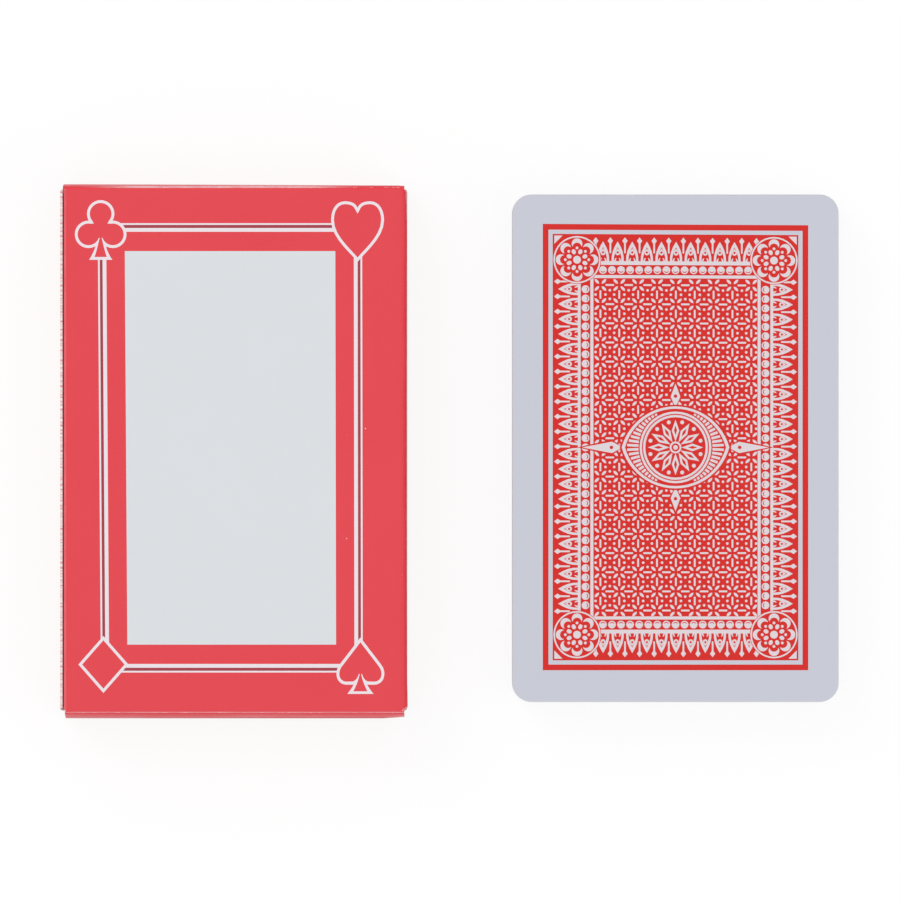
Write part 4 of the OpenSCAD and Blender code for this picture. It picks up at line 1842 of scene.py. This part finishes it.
    def build_lid(self, end: End) -> None:
        """Builds a lid, from the front panel's end to the tuck flap's crease."""
        path, _ = self.lid_path(end)
        fold, last = path.marks()[1:]
        half = self.lid_half_w
        left, left_ear, right_ear = -half, self.lid_ear, self.lid_ear
        if end is End.BOTTOM:
            left, left_ear, right_ear = self.bottom_short - half, 0.0, self.bottom_ear
        cut = rounded([(0.0, max(self.front_left_x, left), 0), (-left_ear, left, 0),
                       (last, left, self.lid_corner_r), (last, half, self.lid_corner_r),
                       (-right_ear, half, 0), (0.0, self.right_x, 0)])

        def worn(s: Array, t: Array) -> Array:
            """Flakes the print along the crease, less at the carton's top left."""
            from_left = ramp(t, -half, 9.0) if end is End.TOP else 1.0
            return 0.6 * (0.5 + 0.5 * from_left) * near(s, fold * 0.35, 0.08)

        def rubbed(s: Array, t: Array) -> Array:
            """Rubs the bottom crease and paints a brighter, deeper red sheen on the bottom lid's face; paints
            a pale highlight along the top crease, partly rubbed, with a deeper red painted shade at its ends
            and at the crease's start.
            """
            # Where the lid's face takes its painted sheen and shade
            painted_fold_light = ramp(s, fold * 0.5, 0.2) * ramp(s, 15.0, -10.0)
            if end is End.BOTTOM:
                return 0.4 * near(s, fold * 0.35, 0.1) - 0.6 * painted_fold_light
            inner = ramp(t, 4.0 - half, 7.0) * ramp(t, half - 8.0, -8.0)
            # A painted highlight along the top crease, partly rubbed
            pale = 0.6 * inner * near(s, fold * 0.65, 0.42)
            return pale - 0.45 * ((1 - inner) * painted_fold_light + near(s, 0.05, 0.1))

        def joined(s: Array, t: Array) -> Array:
            """Joins the lid to the front panel and to the tuck flap."""
            return (s < TOUCH) | (s > last - TOUCH)

        def bow(s: Array, t: Array) -> Array:
            """Bows the lid."""
            return self.lid_bow(end, ramp(s, fold, last - fold), ramp(t, half, -2 * half))

        sheet = BoardSheet(f"{end}_lid_board", self.thick, path, cut, self.at_end(end), wave=bow, worn=worn,
                           rubbed=rubbed, joined=joined, lines=(fold + 0.15, fold + 0.4, fold + 1.2))
        self.build_bending(sheet, f"{end}_lid")

    def build_tuck(self, end: End) -> None:
        """Builds a tuck flap, from the lid's end round its crease."""
        _, path = self.lid_path(end)
        fold, last = path.marks()[1:]
        lid_half, radius = self.lid_half_w, self.tuck_corner_r
        half = lid_half - self.tuck_inset
        cut = rounded([(0.0, -half, 0), (last, -half, radius), (last, half, radius), (0.0, half, 0)])

        def worn(s: Array, t: Array) -> Array:
            """Flakes the crease a little."""
            return 0.42 * near(s, fold / 2, 0.3)

        def bow(s: Array, t: Array) -> Array:
            """Follows the lid's end, and lies flat past the crease."""
            across = ramp(t, lid_half, -2 * lid_half)
            return self.lid_bow(end, np.ones(len(s)), across) * ramp(s, fold, -fold)

        sheet = BoardSheet(f"{end}_tuck_board", self.thick, path, cut, self.at_end(end), wave=bow, worn=worn,
                           joined=lambda s, t: s < TOUCH)
        self.build_bending(sheet, f"{end}_tuck_flap")

    def build_dust_flap(self, side: Side, end: End) -> None:
        """Builds a dust flap, from the side panel's end round its crease.

        Args:
            side: The carton's left or right side.
            end: The carton's top or bottom end.
        """
        node = f"{end}_{side}_dust_flap" if end is End.TOP else "bottom_dust_flaps"
        low, high = node_box(node)
        axis_y = (high[1] if end is End.TOP else low[1]) - self.middle[1]
        radius, corner_r = abs(axis_y) - self.side_end, self.dust_corner_r
        run = Run(self.dust_reach - self.set_off(radius, 90.0))
        path = FoldPath((self.width / 2, self.side_end), 90.0, (Bend(radius, 90.0), run))
        fold, last = path.marks()[1:]
        lower, upper = (self.dust_reach * math.tan(math.radians(taper)) for taper in self.dust_tapers)
        cut = rounded([(0.0, low[2], 0), (fold / 2, low[2], 0), (last, low[2] + lower, corner_r),
                       (last, high[2] - upper, corner_r), (fold / 2, high[2], 0), (0.0, high[2], 0)])

        def to_row(places: Array, along: Array) -> Array:
            """Puts the flap's section, seen along Z, in the frame."""
            x, y = self.middle[:2, None] + np.array((side.way, end.way))[:, None] * places.T
            return np.stack([x, y, along], 1)

        sheet = BoardSheet(f"{end}_{side}_dust_board", self.thick, path, cut, to_row)
        if end is End.TOP:
            self.build_bending(sheet, node)
            return
        piece = sheet.build(self.materials)
        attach(piece, "carton")
        stand_for(piece, "carton_board", node)


# Pack


@dataclass
class Pack:
    """The squared pack: every card the same closed slip of stock, with the common back and its own face."""

    corner_r: float = 3.3  # Corner radius of a card
    corner_steps: int = 10  # How many stretches a corner is cut into
    burr: float = 0.04  # How far the die rounds a card's edge

    def __post_init__(self) -> None:
        """Takes the cards' names and size from the frame."""
        self.names = [name for name in frame["nodes"] if "_of_" in name]
        low, high = node_box(self.names[0])
        self.width, self.length, _ = high - low
        self.top = max(self.names, key=lambda name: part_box(name)[1].z)

    def outline(self, within: float) -> Outline:
        """A card's outline, drawn that far inside its edge."""
        x, y, r = self.width / 2 - within, self.length / 2 - within, self.corner_r - within
        return rounded([(-x, -y, r), (x, -y, r), (x, y, r), (-x, y, r)], self.corner_steps)

    def build(self) -> None:
        """Builds and dresses every card."""
        finish = CardFinish()
        plain, creased = finish.slots(False), finish.slots(True)
        back = CardBackPrint().plate().press(self.outline(self.burr))
        faces = CardFacePrint(self.width, self.length)
        for name in self.names:
            rank, _, suit = name.split("_")
            face = faces.plate(rank, Suit(suit)).press(self.outline(self.burr))
            card = self.card(name, back, face, creased if name == self.top else plain)
            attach(card, name)
            stand_for(card, "card_stock", name)

    def card(self, name: str, back: Pressing, face: Pressing, materials: Sequence[Material]) -> Object:
        """Makes one card: its back, its face, and a rounded cut edge between them.

        Args:
            name: The card's node.
            back: Its pressed back.
            face: Its pressed face, as it is seen with the card turned over.
            materials: Its materials, in the order of CardSlot.

        Returns:
            The piece, in the scene.
        """
        low, high = node_box(name)
        middle = (low + high)[:2] / 2
        rim = np.array(self.outline(self.burr))
        side = np.array(self.outline(0.0))
        count = len(rim)
        layers = ((back.points, high[2]), (side, high[2] - self.burr), (side, low[2] + self.burr),
                  (face.points * (-1, 1), low[2]))
        points = np.concatenate([np.insert(flat + middle, 2, z, axis=1) for flat, z in layers])
        first = np.cumsum([0, *[len(flat) for flat, _ in layers]])
        loop = np.arange(count)
        loops = [self.rim_order(back.points, rim), first[1] + loop, first[2] + loop,
                 first[3] + self.rim_order(face.points * (-1, 1), rim)]
        walls = [np.stack([lower, np.roll(lower, -1), np.roll(upper, -1), upper], 1)
                 for upper, lower in zip(loops[:-1], loops[1:], strict=True)]
        edge = np.concatenate(walls)
        groups = [(back.triangles, back.slots, False), (face.triangles + first[3], face.slots, False),
                  (edge, np.full(len(edge), CardSlot.EDGE), False)]
        return mesh_object(f"card_{name}", points, groups, materials)

    @staticmethod
    def rim_order(points: Array, rim: Array) -> Array:
        """Numbers of the points that lie on a rim, in the rim's order."""
        apart = np.abs(points[None, :, :] - rim[:, None, :]).sum(2)
        return apart.argmin(1)


# Stage


@dataclass(frozen=True)
class Lamp:
    """A square lamp that points at the deck."""

    name: str  # Its name
    place: Corner  # Where it hangs, in metres
    size: float  # Length of its side, in metres
    power: float  # Its power, in watts

    def hang(self) -> None:
        """Puts the lamp in the scene."""
        light = bpy.data.lights.new(self.name, "AREA")
        light.size, light.energy = self.size, self.power
        lamp = link(self.name, light)
        lamp.location = self.place
        lamp.rotation_mode = "QUATERNION"
        lamp.rotation_quaternion = (-Vector(self.place)).to_track_quat("-Z", "Y")
        lamp.visible_camera = False


@dataclass
class Stage:
    """Pale floor, soft light, and the camera straight above."""

    frame_w: float = 157.9  # Width of the picture at focus_z, in millimetres
    aim: Point = (0.14, 0.23)  # Where the picture's middle lies, in millimetres
    focus_z: float = 17.6  # A height between the pack's top and the carton's, in millimetres
    camera_h: float = 7.0  # Height of the camera above the table, in metres
    floor_glow: float = 0.86  # Share of plain white in the floor, as the camera and reflections see it
    sky: float = 0.62  # Strength of the light from all round
    # The lamps round the deck
    lamps: Sequence[Lamp] = (
        Lamp("top_light", (0.0, 0.0, 1.6), 1.6, 8.0),
        Lamp("key_light", (-0.9, 1.0, 1.5), 1.1, 9.0),
        Lamp("fill_light", (1.2, -0.7, 1.3), 1.0, 4.0),
    )

    WHITE = (1.0, 1.0, 1.0, 1.0)

    def build(self) -> None:
        """Builds the floor, the light and the camera."""
        self.floor()
        self.world()
        for lamp in self.lamps:
            lamp.hang()
        self.camera()
        bpy.context.scene.view_settings.view_transform = "Standard"

    def floor(self) -> None:
        """Lays a pale floor just under the table's height."""
        half, drop = 2.5, 0.02 * MM
        mesh = bpy.data.meshes.new("floor")
        mesh.from_pydata([(x, y, -drop) for x, y in box_outline(half, half)], [], [(0, 1, 2, 3)])
        floor = link("floor", mesh)
        paper = Finish("floor_paper", (0.97, 0.97, 0.97), 0.9)
        white = paper.add("ShaderNodeEmission", Strength=1.0)
        self.show(paper.tree, paper.shader.outputs[0], white.outputs[0], self.floor_glow, "OUTPUT_MATERIAL")
        mesh.materials.append(paper.material)

    @staticmethod
    def show(tree: Tree, lit: Socket, seen: Socket, share: float, out: str) -> None:
        """Ends a tree with a surface that the camera and reflections see in part as another one.

        Args:
            tree: The tree.
            lit: The surface that takes and gives light.
            seen: The other one.
            share: Share of the other one.
            out: Type of the tree's output.
        """
        rays = tree.nodes.new("ShaderNodeLightPath")
        pick = tree.nodes.new("ShaderNodeMixShader")
        straight = maths(tree, "MAXIMUM", rays.outputs["Is Camera Ray"], rays.outputs["Is Glossy Ray"])
        straight = maths(tree, "MAXIMUM", straight, rays.outputs["Is Transmission Ray"])
        tree.links.new(maths(tree, "MULTIPLY", straight, share), pick.inputs[0])
        tree.links.new(lit, pick.inputs[1])
        tree.links.new(seen, pick.inputs[2])
        tree.links.new(pick.outputs[0], next(n for n in tree.nodes if n.type == out).inputs["Surface"])

    def world(self) -> None:
        """Lights the scene from all round, and shows white behind it."""
        world = bpy.data.worlds.new("studio")
        bpy.context.scene.world = world
        world.use_nodes = True
        tree = world.node_tree
        light = next(n for n in tree.nodes if n.type == "BACKGROUND")
        light.inputs["Color"].default_value = self.WHITE
        light.inputs["Strength"].default_value = self.sky
        white = add_node(tree, "ShaderNodeBackground", Color=self.WHITE)
        self.show(tree, light.outputs[0], white.outputs[0], 1.0, "OUTPUT_WORLD")

    def camera(self) -> None:
        """Hangs the camera above the deck, looking straight down."""
        view = bpy.data.cameras.new("camera")
        camera = link("camera", view)
        camera.location = (self.aim[0] * MM, self.aim[1] * MM, self.camera_h)
        view.lens = view.sensor_width * (self.camera_h - self.focus_z * MM) / (self.frame_w * MM)
        view.clip_start, view.clip_end = 0.1, 100.0
        bpy.context.scene.camera = camera


def main() -> None:
    """Builds the deck and its stage."""
    logging.basicConfig(level=logging.INFO, format="%(name)s %(message)s")
    Carton().build()
    Pack().build()
    Stage().build()


if __name__ == "__main__":
    main()
